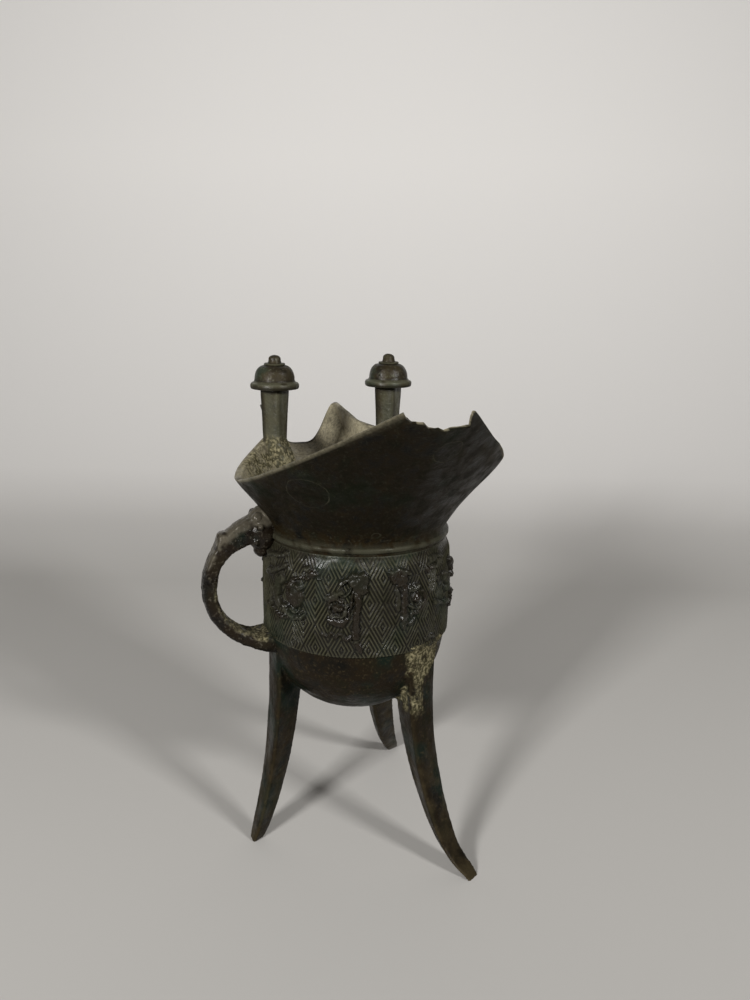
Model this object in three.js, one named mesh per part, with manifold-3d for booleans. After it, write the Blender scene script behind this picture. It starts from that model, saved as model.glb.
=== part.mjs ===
// A small bronze jue, the three-legged wine vessel of the archaic form, cast in one piece.
// It has a spout, a pointed tail whose tip has broken off, two capped posts on the rim,
// a strap handle with an animal's head, and a band of low relief round the cup.
// Millimetres, +Z up. The spout points along +X, the handle along +Y and the tail along -X.

import * as THREE from 'three';
import Module from 'manifold-3d';
import { mergeVertices } from 'three/addons/utils/BufferGeometryUtils.js';

const wasm = await Module();
wasm.setup();

// Cup, from the bowl's lowest point up to the neck
const WALL = 2.0;
const UNDER_BOWL = 49.2;
const BOWL_RADIUS = 30.5;
const BOWL_DEPTH = 28.8;
const BAND_RADIUS = 32.1;
const BAND_TOP_RADIUS = 31.4;
const BAND_HEIGHT = 30.3;
const NECK_RADIUS = 30.2;
const NECK_HEIGHT = 7.0;
const COLLAR_PROUD = 0.8;
const COLLAR_WIDTH = 1.8;
const COLLAR_DROP = 1.6;

// Mouth: plan sizes are from the cup's axis, rises are from the top of the neck
const MOUTH_HALF_WIDTH = 41.7;
const MOUTH_WIDEST_X = -8;
const RIM_LOWEST_X = 4;
const RIM_LOWEST_RISE = 15.7;
const TAIL_REACH = 76.5;
const TAIL_TIP_RISE = 53.2;
const TAIL_FULLNESS = 1.85;
const TAIL_SWEEP = 1.7;
const SPOUT_REACH = 74;
const SPOUT_HALF_WIDTH = 16.4;
const SPOUT_PARALLEL_LENGTH = 24;
const SPOUT_FLOOR_RISE = 11.2;
const SPOUT_LIP_RISE = 28.9;
const SHOULDER_RISE = 4.5;
const SHOULDER_LENGTH = 34;
const SHOULDER_FULLNESS = 1.35;

// The wall's upright lines fan out over the edge: azimuths, at the neck, of those that end at
// the spout's corner, at the spout's root and at the widest place
const SPOUT_CORNER_AZIMUTH = 30;
const SPOUT_ROOT_AZIMUTH = 52;
const WIDEST_AZIMUTH = 105;

// How hollow the flare is on its way from the neck to the edge; 1 would be straight
const SPOUT_FLARE = 1.15;
const TAIL_FLARE = 1.05;
const SIDE_FLARE = 1.25;

// Thickness of the mouth's edge, measured level, and the rounding over it
const SIDE_LIP = 2.8;
const SPOUT_LIP = 2.0;
const TAIL_LIP = 1.7;
const TIP_LIP = 2.4;
const LIP_CROWN = 0.5;

// Break across the tail: how far it lies from where the tip was, and its outline, as a side
// position and how far it wanders along X there
const BREAK_FROM_TIP = 11.1;
const BREAK_STEPS = [
  [16, -3.0],
  [11.2, -2.0],
  [10.0, 0.2],
  [8.8, 1.6],
  [4.5, 1.3],
  [2.6, 2.1],
  [-0.7, 1.6],
  [-3.0, 1.0],
  [-6.0, 1.8],
  [-9.4, 2.6],
  [-8.6, -1.0],
  [-7.8, -3.6],
  [-16, -7.0],
];

// Posts on the rim and their caps
const POST_X = 28.9;
const POST_INSET = 6.15;
const POST_FOOT_SIDE = 6.7;
const POST_TOP_SIDE = 7.9;
const POST_CHAMFER = 0.9;
const POST_RISE = 41;
const CAP_RADIUS = 8.5;
const CAP_BRIM = 2.2;
const CAP_DOME_RADIUS = 7.2;
const CAP_DOME_HEIGHT = 5.6;
const CAP_STUD_RADIUS = 3.5;
const CAP_KNOB_RADIUS = 2.15;
const CAP_KNOB_HEIGHT = 3.4;
const POST_ROOT_DEPTH = 7;
const POST_ROOT_GAP = 5;

// Legs: a level section with a broad outer face and a ridge towards the axis
const LEG_INSET = 0.5;
const HANDLE_LEG = { azimuth: 90, splay: 8.2, kick: 0, depth: 4.6, rootDepth: 11.5 };
const TAIL_LEG = { azimuth: 211.8, splay: 18, kick: 5.4, depth: 4.6, rootDepth: 13.2 };
const SPOUT_LEG = { azimuth: 324.3, splay: 24.9, kick: 3.4, depth: 4.6, rootDepth: 13.2 };
const LEG_FOOT_WIDTH = 6.2;
const LEG_ROOT_WIDTH = 14;
const LEG_SPLAY_SHARE = 0.86;
const LEG_CURVE = 2.2;
const LEG_WIDTH_GROWTH = 0.65;
const LEG_DEPTH_GROWTH = 0.72;
const LEG_KICK_HEIGHT = 10;

// Handle: a strap bent to an arc, whose centre lies by the cup's wall; it thickens in the turns
// before the head and before its root, and has a spur at the upper turn
const HANDLE_ARC_RADIUS = 19.7;
const HANDLE_ARC_INSET = 1.1;
const HANDLE_ARC_RISE = 17.5;
const STRAP_HEAD_TURN = 96;
const STRAP_ROOT_TURN = -99;
const STRAP_WIDTH = 8;
const STRAP_THICKNESS = 4.5;
const STRAP_ROOT_WIDTH = 14;
const STRAP_ROOT_THICKNESS = 7.4;
const STRAP_NECK_THICKNESS = 8.8;
const NECK_FROM_TURN = 28;
const NECK_TO_TURN = 78;
const ROOT_FROM_TURN = -60;
const ROOT_TO_TURN = -96;
const SPUR_HEIGHT = 1.7;
const SPUR_TURN = 47;
const SPUR_SPREAD = 5;

// Animal's head at the handle's upper end
const HEAD_LENGTH = 8;
const HEAD_WIDTH = 10.5;
const HEAD_HEIGHT = 15.5;
const HEAD_DROP = 0.8;
const HEAD_INSET = 1.8;
const EAR_LENGTH = 4.6;
const EYE_RADIUS = 1.3;

// Relief on the band: two masks, one on the tail's side and one on the spout's side
const MASK_AZIMUTHS = [173, 353];
const RELIEF_RISE = 1.5;
const RELIEF_SINK = 0.9;

// Levels above the floor
const bandBottom = UNDER_BOWL + BOWL_DEPTH;
const bandTop = bandBottom + BAND_HEIGHT;
const neckTop = bandTop + NECK_HEIGHT;
const capUnderside = neckTop + POST_RISE;

// Centre of the handle's arc
const arcOut = BAND_RADIUS - HANDLE_ARC_INSET;
const arcLevel = bandBottom + HANDLE_ARC_RISE;

// Outside of the band as radius and height, a little fuller at mid height
const bandProfile = [
  [BAND_RADIUS - 0.3, bandBottom + 0.4],
  [BAND_RADIUS, bandBottom + BAND_HEIGHT / 2],
  [BAND_TOP_RADIUS, bandTop - 0.3],
];

// How finely the round forms are faceted
const BOWL_STEPS = 5;
const SPOUT_END_STEPS = 5;
const SPOUT_SIDE_STEPS = 5;
const SIDE_STEPS = 7;
const TAIL_STEPS = 8;
const LEG_SLICES = 9;
const LEG_SLICE_CROWDING = 1.25;
const STRAP_STEPS = 17;

const { clamp, degToRad, lerp } = THREE.MathUtils;

function smooth(t) {
  const part = clamp(t, 0, 1);
  return part * part * (3 - 2 * part);
}

function point(x, y, z) {
  return new THREE.Vector3(x, y, z);
}

// Point at a radius and azimuth round the cup's axis
function polar(radius, azimuth, z) {
  const angle = degToRad(azimuth);
  return point(radius * Math.cos(angle), radius * Math.sin(angle), z);
}

// Closed mesh to solid, turned right side out where its faces were wound inwards
function toSolid(points, triangles) {
  let volume = 0;
  for (const [a, b, c] of triangles) {
    volume += points[a].dot(points[b].clone().cross(points[c]));
  }
  const faces = volume > 0 ? triangles : triangles.map(([a, b, c]) => [a, c, b]);
  const vertProperties = new Float32Array(points.flatMap((p) => [p.x, p.y, p.z]));
  const triVerts = new Uint32Array(faces.flat());
  return new wasm.Manifold(new wasm.Mesh({ numProp: 3, vertProperties, triVerts }));
}

function geometryToSolid(geometry) {
  const bare = geometry.clone();
  bare.deleteAttribute('normal');
  bare.deleteAttribute('uv');
  const merged = mergeVertices(bare, 1e-4);
  const position = merged.getAttribute('position');
  const points = [];
  for (let i = 0; i < position.count; i++) {
    points.push(new THREE.Vector3().fromBufferAttribute(position, i));
  }
  const triangles = [];
  for (let i = 0; i < merged.index.count; i += 3) {
    triangles.push([merged.index.getX(i), merged.index.getX(i + 1), merged.index.getX(i + 2)]);
  }
  return toSolid(points, triangles);
}

// Skin over rows of points that all close on themselves; each end is closed by a fan to its middle
function skin(rows, startPole, endPole) {
  const count = rows[0].length;
  const points = rows.flat();
  const triangles = [];
  for (let row = 0; row + 1 < rows.length; row++) {
    for (let i = 0; i < count; i++) {
      const next = (i + 1) % count;
      const low = row * count;
      const high = low + count;
      triangles.push([low + i, low + next, high + next]);
      triangles.push([low + i, high + next, high + i]);
    }
  }
  const middle = (row) => row.reduce((sum, p) => sum.add(p), point(0, 0, 0)).divideScalar(count);
  const start = points.push(startPole ?? middle(rows[0])) - 1;
  const end = points.push(endPole ?? middle(rows[rows.length - 1])) - 1;
  const last = (rows.length - 1) * count;
  for (let i = 0; i < count; i++) {
    const next = (i + 1) % count;
    triangles.push([start, next, i]);
    triangles.push([last + i, last + next, end]);
  }
  return toSolid(points, triangles);
}

// Half of the mouth's width at x
function rimHalfWidth(x) {
  if (x < MOUTH_WIDEST_X) {
    const part = (MOUTH_WIDEST_X - x) / (TAIL_REACH + MOUTH_WIDEST_X);
    return MOUTH_HALF_WIDTH * (1 - part ** TAIL_FULLNESS);
  }
  const parallelX = SPOUT_REACH - SPOUT_PARALLEL_LENGTH;
  const part = Math.min(1, (x - MOUTH_WIDEST_X) / (parallelX - MOUTH_WIDEST_X));
  const opening = 0.5 * (1 + Math.cos(Math.PI * part ** SHOULDER_FULLNESS));
  return lerp(SPOUT_HALF_WIDTH, MOUTH_HALF_WIDTH, opening);
}

// Distance of a post from the plane through the spout and the tail
function postY() {
  return rimHalfWidth(POST_X) - POST_INSET;
}

// Height of the mouth's edge at x: it sweeps up to the tail, and over a shoulder to the spout
function rimHeight(x) {
  const lowest = neckTop + RIM_LOWEST_RISE;
  if (x < RIM_LOWEST_X) {
    const part = (RIM_LOWEST_X - x) / (TAIL_REACH + RIM_LOWEST_X);
    return lowest + (TAIL_TIP_RISE - RIM_LOWEST_RISE) * part ** TAIL_SWEEP;
  }
  const along = (x - RIM_LOWEST_X) / (SPOUT_REACH - RIM_LOWEST_X);
  const shoulder = smooth(((x - RIM_LOWEST_X) / SHOULDER_LENGTH) ** 1.5);
  const slope = SPOUT_LIP_RISE - RIM_LOWEST_RISE - SHOULDER_RISE;
  return lowest + slope * along + SHOULDER_RISE * shoulder;
}

// A station is one upright line of the mouth's wall: its azimuth at the neck, its point on the
// outer edge, the step from there across the edge to the inside, and the way the edge is rounded
function spoutEndStation(part) {
  const rise = smooth(part ** 1.9);
  const z = neckTop + lerp(SPOUT_FLOOR_RISE, SPOUT_LIP_RISE, rise);
  const lean = degToRad(90) * part ** 1.2;
  return {
    azimuth: SPOUT_CORNER_AZIMUTH * part,
    rim: point(SPOUT_REACH, SPOUT_HALF_WIDTH * part, z),
    across: point(0, -Math.sin(lean), Math.cos(lean)).multiplyScalar(SPOUT_LIP),
    crown: point(1, 0, 0),
  };
}

function edgeStation(azimuth, x, lip, crown) {
  const step = 0.5;
  const slope = (rimHalfWidth(x + step) - rimHalfWidth(x - step)) / (2 * step);
  return {
    azimuth,
    rim: point(x, rimHalfWidth(x), rimHeight(x)),
    across: point(slope, -1, 0).normalize().multiplyScalar(lip),
    crown,
  };
}

function halfStations() {
  const up = point(0, 0, 1);
  const [corner, root, widest] = [SPOUT_CORNER_AZIMUTH, SPOUT_ROOT_AZIMUTH, WIDEST_AZIMUTH];
  const spoutRoot = POST_X - POST_ROOT_GAP;
  const list = [];
  for (let i = 0; i < SPOUT_END_STEPS; i++) {
    list.push(spoutEndStation(i / SPOUT_END_STEPS));
  }
  for (let i = 0; i < SPOUT_SIDE_STEPS; i++) {
    const part = i / SPOUT_SIDE_STEPS;
    const crown = i === 0 ? point(0.7, 0, 0.7) : up;
    const x = lerp(SPOUT_REACH, spoutRoot, part);
    list.push(edgeStation(lerp(corner, root, part), x, lerp(SPOUT_LIP, SIDE_LIP, part), crown));
  }
  for (let i = 0; i < SIDE_STEPS; i++) {
    const part = i / SIDE_STEPS;
    list.push(edgeStation(lerp(root, widest, part), lerp(spoutRoot, MOUTH_WIDEST_X, part), SIDE_LIP, up));
  }
  for (let i = 0; i < TAIL_STEPS; i++) {
    const part = i / TAIL_STEPS;
    const x = lerp(MOUTH_WIDEST_X, -TAIL_REACH, part);
    list.push(edgeStation(lerp(widest, 180, part), x, lerp(SIDE_LIP, TAIL_LIP, part), up));
  }
  list.push({
    azimuth: 180,
    rim: point(-TAIL_REACH, 0, rimHeight(-TAIL_REACH)),
    across: point(TIP_LIP, 0, 0),
    crown: up,
  });
  return list;
}

function mirrored(station) {
  const flip = (p) => point(p.x, -p.y, p.z);
  return {
    azimuth: 360 - station.azimuth,
    rim: flip(station.rim),
    across: flip(station.across),
    crown: station.crown,
  };
}

function allStations() {
  const half = halfStations();
  return [...half, ...half.slice(1, -1).reverse().map(mirrored)];
}

// Row of the flaring mouth: part 0 is at the neck, part 1 on the edge; inset crosses the wall
function mouthRow(stations, part, inset) {
  return stations.map((station) => {
    const side = Math.sin(degToRad(station.azimuth)) ** 2;
    const curve = Math.cos(degToRad(station.azimuth)) > 0 ? SPOUT_FLARE : TAIL_FLARE;
    const outward = part ** lerp(curve, SIDE_FLARE, side);
    const foot = polar(NECK_RADIUS - inset * WALL, station.azimuth, neckTop);
    const edge = station.rim.clone().addScaledVector(station.across, inset);
    return point(lerp(foot.x, edge.x, outward), lerp(foot.y, edge.y, outward), lerp(foot.z, edge.z, part));
  });
}

function lipRow(stations) {
  return stations.map((station) => {
    const middle = station.rim.clone().addScaledVector(station.across, 0.5);
    return middle.addScaledVector(station.crown, LIP_CROWN);
  });
}

// Outside of the cup, from under the bowl up to the neck, as radius and height
function cupOutside() {
  const profile = [];
  for (let i = 1; i <= BOWL_STEPS; i++) {
    const angle = degToRad((90 * i) / BOWL_STEPS);
    profile.push([BOWL_RADIUS * Math.sin(angle), bandBottom - BOWL_DEPTH * Math.cos(angle)]);
  }
  const collarTop = neckTop - COLLAR_DROP;
  profile.push(...bandProfile);
  profile.push([NECK_RADIUS, bandTop + 0.6]);
  profile.push([NECK_RADIUS, collarTop - COLLAR_WIDTH]);
  profile.push([NECK_RADIUS + COLLAR_PROUD, collarTop - 0.8 * COLLAR_WIDTH]);
  profile.push([NECK_RADIUS + COLLAR_PROUD, collarTop - 0.2 * COLLAR_WIDTH]);
  return profile;
}

// Inside of the cup, from the neck down into the bowl
function cupInside() {
  const profile = [[BAND_TOP_RADIUS - WALL, bandTop - 3]];
  profile.push([BAND_RADIUS - WALL - 0.5, bandBottom + 4]);
  for (let turn = 80; turn >= 20; turn -= 20) {
    const angle = degToRad(turn);
    const radius = (BOWL_RADIUS - WALL) * Math.sin(angle);
    profile.push([radius, bandBottom - (BOWL_DEPTH - WALL) * Math.cos(angle)]);
  }
  return profile;
}

// Outer radius of the decorated band
function bandRadius(z) {
  const upper = z > bandProfile[1][1] ? 2 : 1;
  const [lowRadius, low] = bandProfile[upper - 1];
  const [highRadius, high] = bandProfile[upper];
  return lerp(lowRadius, highRadius, clamp((z - low) / (high - low), 0, 1));
}

function ringRow(stations, [radius, z]) {
  return stations.map((station) => polar(radius, station.azimuth, z));
}

function makeVesselWall() {
  const stations = allStations();
  const rows = cupOutside().map((pair) => ringRow(stations, pair));
  for (const part of [0, 0.14, 0.34, 0.56, 0.78, 1]) {
    rows.push(mouthRow(stations, part, 0));
  }
  rows.push(lipRow(stations));
  for (const part of [1, 0.72, 0.42, 0.18, 0]) {
    rows.push(mouthRow(stations, part, 1));
  }
  rows.push(...cupInside().map((pair) => ringRow(stations, pair)));
  return skin(rows, point(0, 0, UNDER_BOWL), point(0, 0, UNDER_BOWL + WALL));
}

// Space inside the cup, for cutting back what would reach through its wall
function makeCupSpace() {
  const profile = [[0, neckTop], [NECK_RADIUS - WALL, neckTop], ...cupInside(), [0, UNDER_BOWL + WALL]];
  const outline = profile.reverse().map(([radius, z]) => new THREE.Vector2(radius, z));
  return geometryToSolid(new THREE.LatheGeometry(outline, 48).rotateX(Math.PI / 2));
}

// One leg from the floor to the band's lower edge, in level slices
function makeLeg({ azimuth, splay, kick, depth, rootDepth }) {
  const top = bandBottom - 1;
  const out = polar(1, azimuth, 0);
  const across = polar(1, azimuth + 90, 0);
  const rows = [];
  for (let i = 0; i < LEG_SLICES; i++) {
    const rise = (i / (LEG_SLICES - 1)) ** LEG_SLICE_CROWDING;
    const z = top * rise;
    const curl = kick * Math.max(0, 1 - z / LEG_KICK_HEIGHT) ** 2;
    const spread = splay * Math.max(0, 1 - z / (LEG_SPLAY_SHARE * top)) ** LEG_CURVE;
    const face = BOWL_RADIUS - LEG_INSET + spread + curl;
    const half = lerp(LEG_FOOT_WIDTH, LEG_ROOT_WIDTH, rise ** LEG_WIDTH_GROWTH) / 2;
    const deep = lerp(depth, rootDepth, rise ** LEG_DEPTH_GROWTH);
    const outline = [
      [face - 0.12 * deep, half],
      [face, 0.55 * half],
      [face, -0.55 * half],
      [face - 0.12 * deep, -half],
      [face - 0.55 * deep, -0.52 * half],
      [face - deep, -0.12 * half],
      [face - deep, 0.12 * half],
      [face - 0.55 * deep, 0.52 * half],
    ];
    rows.push(outline.map(([radial, aside]) =>
      point(0, 0, z).addScaledVector(out, radial).addScaledVector(across, aside)));
  }
  return skin(rows);
}

// Strap handle: its section turns along an arc in the plane x = 0
function makeStrap() {
  const rows = [];
  for (let i = 0; i <= STRAP_STEPS; i++) {
    const turn = lerp(STRAP_HEAD_TURN, STRAP_ROOT_TURN, i / STRAP_STEPS);
    const angle = degToRad(turn);
    const nearHead = smooth((turn - NECK_FROM_TURN) / (NECK_TO_TURN - NECK_FROM_TURN));
    const nearRoot = smooth((turn - ROOT_FROM_TURN) / (ROOT_TO_TURN - ROOT_FROM_TURN));
    const spur = SPUR_HEIGHT * Math.exp(-(((turn - SPUR_TURN) / SPUR_SPREAD) ** 2));
    const thick = lerp(lerp(STRAP_THICKNESS, STRAP_NECK_THICKNESS, nearHead), STRAP_ROOT_THICKNESS, nearRoot);
    const inner = -thick / 2;
    const outer = thick / 2 + spur;
    const half = lerp(STRAP_WIDTH, STRAP_ROOT_WIDTH, nearRoot) / 2;
    const outline = [
      [half, 0.45 * inner],
      [0.7 * half, inner],
      [-0.7 * half, inner],
      [-half, 0.45 * inner],
      [-half, 0.45 * outer],
      [-0.6 * half, outer],
      [0.6 * half, outer],
      [half, 0.45 * outer],
    ];
    rows.push(outline.map(([x, proud]) => {
      const radius = HANDLE_ARC_RADIUS + proud;
      return point(x, arcOut + radius * Math.cos(angle), arcLevel + radius * Math.sin(angle));
    }));
  }
  return skin(rows);
}

function ball(radius, centre, stretch) {
  const geometry = new THREE.SphereGeometry(radius, 8, 5);
  geometry.scale(stretch.x, stretch.y, stretch.z);
  geometry.translate(centre.x, centre.y, centre.z);
  return geometryToSolid(geometry);
}

// Animal's head: a snout that the strap comes out of, with ears, eyes and a hanging jaw
function makeHead() {
  const centreZ = arcLevel + HANDLE_ARC_RADIUS - HEAD_DROP;
  const start = arcOut - HEAD_INSET;
  const rows = [
    [0, 0.8, 0.94],
    [0.25, 1, 1],
    [0.55, 0.96, 0.92],
    [0.82, 0.84, 0.74],
    [1.05, 0.62, 0.56],
  ].map(([along, wide, tall]) => {
    const row = [];
    for (let i = 0; i < 8; i++) {
      const angle = degToRad(45 * i);
      const x = 0.5 * HEAD_WIDTH * wide * Math.cos(angle);
      row.push(point(x, start + HEAD_LENGTH * along, centreZ + 0.5 * HEAD_HEIGHT * tall * Math.sin(angle)));
    }
    return row;
  });
  const pieces = [skin(rows)];
  for (const side of [-1, 1]) {
    const ear = new THREE.ConeGeometry(0.36 * EAR_LENGTH, EAR_LENGTH, 6);
    ear.rotateX(degToRad(70));
    ear.rotateY(degToRad(side * 24));
    ear.translate(side * 0.34 * HEAD_WIDTH, start + 0.42 * HEAD_LENGTH, centreZ + 0.5 * HEAD_HEIGHT);
    pieces.push(geometryToSolid(ear));
    const eye = point(side * 0.43 * HEAD_WIDTH, start + 0.62 * HEAD_LENGTH, centreZ + 0.1 * HEAD_HEIGHT);
    pieces.push(ball(EYE_RADIUS, eye, point(0.8, 1, 1)));
  }
  const jaw = point(0, start + 0.5 * HEAD_LENGTH, centreZ - 0.44 * HEAD_HEIGHT);
  pieces.push(ball(0.24 * HEAD_WIDTH, jaw, point(1.2, 1, 0.8)));
  return wasm.Manifold.union(pieces);
}

// Post: a square shaft with a corner towards the spout, its root running down the mouth's inner wall
function makePost(side) {
  const foot = rimHeight(POST_X);
  const wallDrift = point(-0.35, side * 0.35, 0);
  const rows = [
    [foot - POST_ROOT_DEPTH, 0.35 * POST_FOOT_SIDE, 1.6],
    [foot - 0.5 * POST_ROOT_DEPTH, 0.8 * POST_FOOT_SIDE, 1.0],
    [foot, POST_FOOT_SIDE, 0],
    [lerp(foot, capUnderside, 0.5), lerp(POST_FOOT_SIDE, POST_TOP_SIDE, 0.4), 0],
    [capUnderside + 0.6, POST_TOP_SIDE, 0],
  ].map(([z, width, drift]) => {
    const middle = point(POST_X, side * postY(), z).addScaledVector(wallDrift, 2 * drift);
    const reach = width / Math.SQRT2;
    const cut = POST_CHAMFER / Math.SQRT2;
    const row = [];
    for (let corner = 0; corner < 4; corner++) {
      for (const hand of [-1, 1]) {
        const azimuth = 90 * corner;
        const tip = polar(reach - cut, azimuth, 0).add(polar(hand * cut, azimuth + 90, 0));
        row.push(middle.clone().add(tip));
      }
    }
    return row;
  });
  return skin(rows);
}

function makeCap(side) {
  const domeFoot = CAP_BRIM + 0.5;
  const studFoot = domeFoot + CAP_DOME_HEIGHT;
  const profile = [
    [0, 0],
    [CAP_RADIUS - 0.7, 0],
    [CAP_RADIUS, 0.6],
    [CAP_RADIUS, CAP_BRIM - 0.5],
    [CAP_RADIUS - 0.7, CAP_BRIM],
    [CAP_DOME_RADIUS, domeFoot],
    [0.96 * CAP_DOME_RADIUS, domeFoot + 0.3 * CAP_DOME_HEIGHT],
    [0.76 * CAP_DOME_RADIUS, domeFoot + 0.72 * CAP_DOME_HEIGHT],
    [CAP_STUD_RADIUS, studFoot],
    [CAP_STUD_RADIUS - 0.2, studFoot + 0.8],
    [CAP_KNOB_RADIUS, studFoot + 0.9],
    [CAP_KNOB_RADIUS, studFoot + 0.65 * CAP_KNOB_HEIGHT],
    [0.6 * CAP_KNOB_RADIUS, studFoot + 0.92 * CAP_KNOB_HEIGHT],
    [0, studFoot + CAP_KNOB_HEIGHT],
  ];
  const outline = profile.map(([radius, z]) => new THREE.Vector2(radius, z));
  const geometry = new THREE.LatheGeometry(outline, 16).rotateX(Math.PI / 2);
  geometry.translate(POST_X, side * postY(), capUnderside);
  return geometryToSolid(geometry);
}

// Point on the band: azimuth in degrees, height over the band's lower edge, and how far proud
function onBand(azimuth, height, proud) {
  return polar(bandRadius(bandBottom + height) + proud, azimuth, bandBottom + height);
}

const degreesPerMm = 180 / (Math.PI * BAND_RADIUS);

// Rounded ridge along a path of azimuth and height pairs, tapered at both ends
function makeRidge(path, width, rise) {
  const along = path.map(([azimuth, height]) => point(azimuth / degreesPerMm, height, 0));
  const curve = new THREE.CatmullRomCurve3(along);
  const steps = path.length + 1;
  const rows = [];
  for (let i = 0; i <= steps; i++) {
    const part = i / steps;
    const middle = curve.getPoint(part);
    const aside = curve.getTangent(part).cross(point(0, 0, 1)).normalize();
    const full = 0.55 + 0.45 * Math.sin(Math.PI * part) ** 0.5;
    const section = [
      [-0.5, -RELIEF_SINK],
      [-0.4, 0.6 * rise * full],
      [0, rise * full],
      [0.4, 0.6 * rise * full],
      [0.5, -RELIEF_SINK],
    ];
    rows.push(section.map(([share, proud]) => {
      const place = middle.clone().addScaledVector(aside, share * width * full);
      return onBand(place.x * degreesPerMm, place.y, proud);
    }));
  }
  return skin(rows);
}

// Low oval boss on the band
function makeBoss([azimuth, height], halfWidth, halfHeight, rise) {
  const rows = [[1, -RELIEF_SINK], [0.72, 0.75 * rise]].map(([share, proud]) => {
    const row = [];
    for (let i = 0; i < 8; i++) {
      const angle = degToRad(45 * i);
      const aside = share * halfWidth * Math.cos(angle) * degreesPerMm;
      row.push(onBand(azimuth + aside, height + share * halfHeight * Math.sin(angle), proud));
    }
    return row;
  });
  return skin(rows, undefined, onBand(azimuth, height, rise));
}

// One mask: on each side of its axis a crested body, an eye in a curl, and a bird's head with a
// beak. Places are degrees from the axis and hundredths of the band's height
function makeMask(axis) {
  const pieces = [];
  for (const side of [-1, 1]) {
    const at = ([offset, percent]) => [axis + side * offset, (percent / 100) * BAND_HEIGHT];
    const ridge = (path, width, rise) => pieces.push(makeRidge(path.map(at), width, rise));
    const boss = (place, halfWidth, halfHeight, rise) =>
      pieces.push(makeBoss(at(place), halfWidth, halfHeight, rise));
    ridge([[6.8, 90], [12, 93], [16, 90], [20.2, 84]], 2.6, RELIEF_RISE);
    ridge([[10.2, 88], [11.8, 73], [12, 50], [13.2, 26]], 3.4, RELIEF_RISE);
    ridge([[20, 70], [24, 70], [28, 66]], 2.0, 0.7 * RELIEF_RISE);
    ridge([[27.6, 53], [24.6, 46], [21.2, 45], [18.4, 50], [17.9, 59]], 1.5, 0.8 * RELIEF_RISE);
    boss([22.6, 57], 1.9, 1.8, 1.15 * RELIEF_RISE);
    boss([40.5, 92], 2.0, 1.6, RELIEF_RISE);
    ridge([[34, 84], [40, 84], [47, 81], [53, 78]], 1.3, 0.6 * RELIEF_RISE);
    boss([49.6, 62], 3.6, 3.7, RELIEF_RISE);
    ridge([[56.5, 50], [53, 41], [49, 37], [45, 39], [42.8, 43]], 1.8, RELIEF_RISE);
    ridge([[59, 79], [62.8, 69], [63.5, 53], [61.5, 41]], 2.6, 0.9 * RELIEF_RISE);
    boss([69.4, 44], 2.0, 1.5, RELIEF_RISE);
  }
  return wasm.Manifold.union(pieces);
}

// Everything beyond the broken edge of the tail
function makeBreakCutter() {
  const beyond = 2 * TAIL_REACH;
  const breakX = BREAK_FROM_TIP - TAIL_REACH;
  const outline = BREAK_STEPS.map(([y, wander]) => new THREE.Vector2(breakX + wander, y));
  const [first, last] = [outline[0].y, outline[outline.length - 1].y];
  outline.push(new THREE.Vector2(-beyond, last), new THREE.Vector2(-beyond, first));
  const plan = new THREE.Shape(outline);
  const geometry = new THREE.ExtrudeGeometry(plan, { depth: beyond, bevelEnabled: false });
  geometry.translate(0, 0, neckTop);
  return geometryToSolid(geometry);
}

function makeVessel() {
  const outsideWork = wasm.Manifold.union([
    ...[HANDLE_LEG, TAIL_LEG, SPOUT_LEG].map(makeLeg),
    makeStrap(),
    makeHead(),
  ]).subtract(makeCupSpace());
  const rimWork = [-1, 1].flatMap((side) => [makePost(side), makeCap(side)]);
  return makeVesselWall()
    .add(outsideWork)
    .add(wasm.Manifold.union(rimWork))
    .add(wasm.Manifold.union(MASK_AZIMUTHS.map(makeMask)))
    .subtract(makeBreakCutter());
}

function toMesh(solid, name, material) {
  const { vertProperties, triVerts } = solid.getMesh();
  const geometry = new THREE.BufferGeometry();
  geometry.setAttribute('position', new THREE.Float32BufferAttribute(vertProperties, 3));
  geometry.setIndex(new THREE.Uint32BufferAttribute(triVerts, 1));
  geometry.computeVertexNormals();
  const mesh = new THREE.Mesh(geometry, material);
  mesh.name = name;
  return mesh;
}

const patinatedBronze = new THREE.MeshStandardMaterial({ color: 0x2f2d24, roughness: 0.55, metalness: 0.7 });

const jue = new THREE.Group();
jue.add(toMesh(makeVessel(), 'jue_vessel', patinatedBronze));

// The origin is on the floor under the middle of the whole vessel's outline
const extent = new THREE.Box3().setFromObject(jue);
const middle = extent.getCenter(new THREE.Vector3());
jue.position.set(-middle.x, -middle.y, -extent.min.z);

export default jue;
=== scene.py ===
"""A small bronze jue, the archaic three-legged wine vessel, standing on a pale floor.

The vessel is one casting, modelled here in six pieces that meet inside its wall: the bowl with its
legs, the band of relief, the flaring mouth, the strap handle and the two capped posts. Sizes are in
millimetres from the cup's axis and the floor, unless a line says otherwise.
"""

import logging
import math
from collections.abc import Callable, Iterator
from contextlib import contextmanager
from dataclasses import dataclass
from enum import Enum

import bpy
import numpy as np
from mathutils import Matrix, Vector, noise


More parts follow.
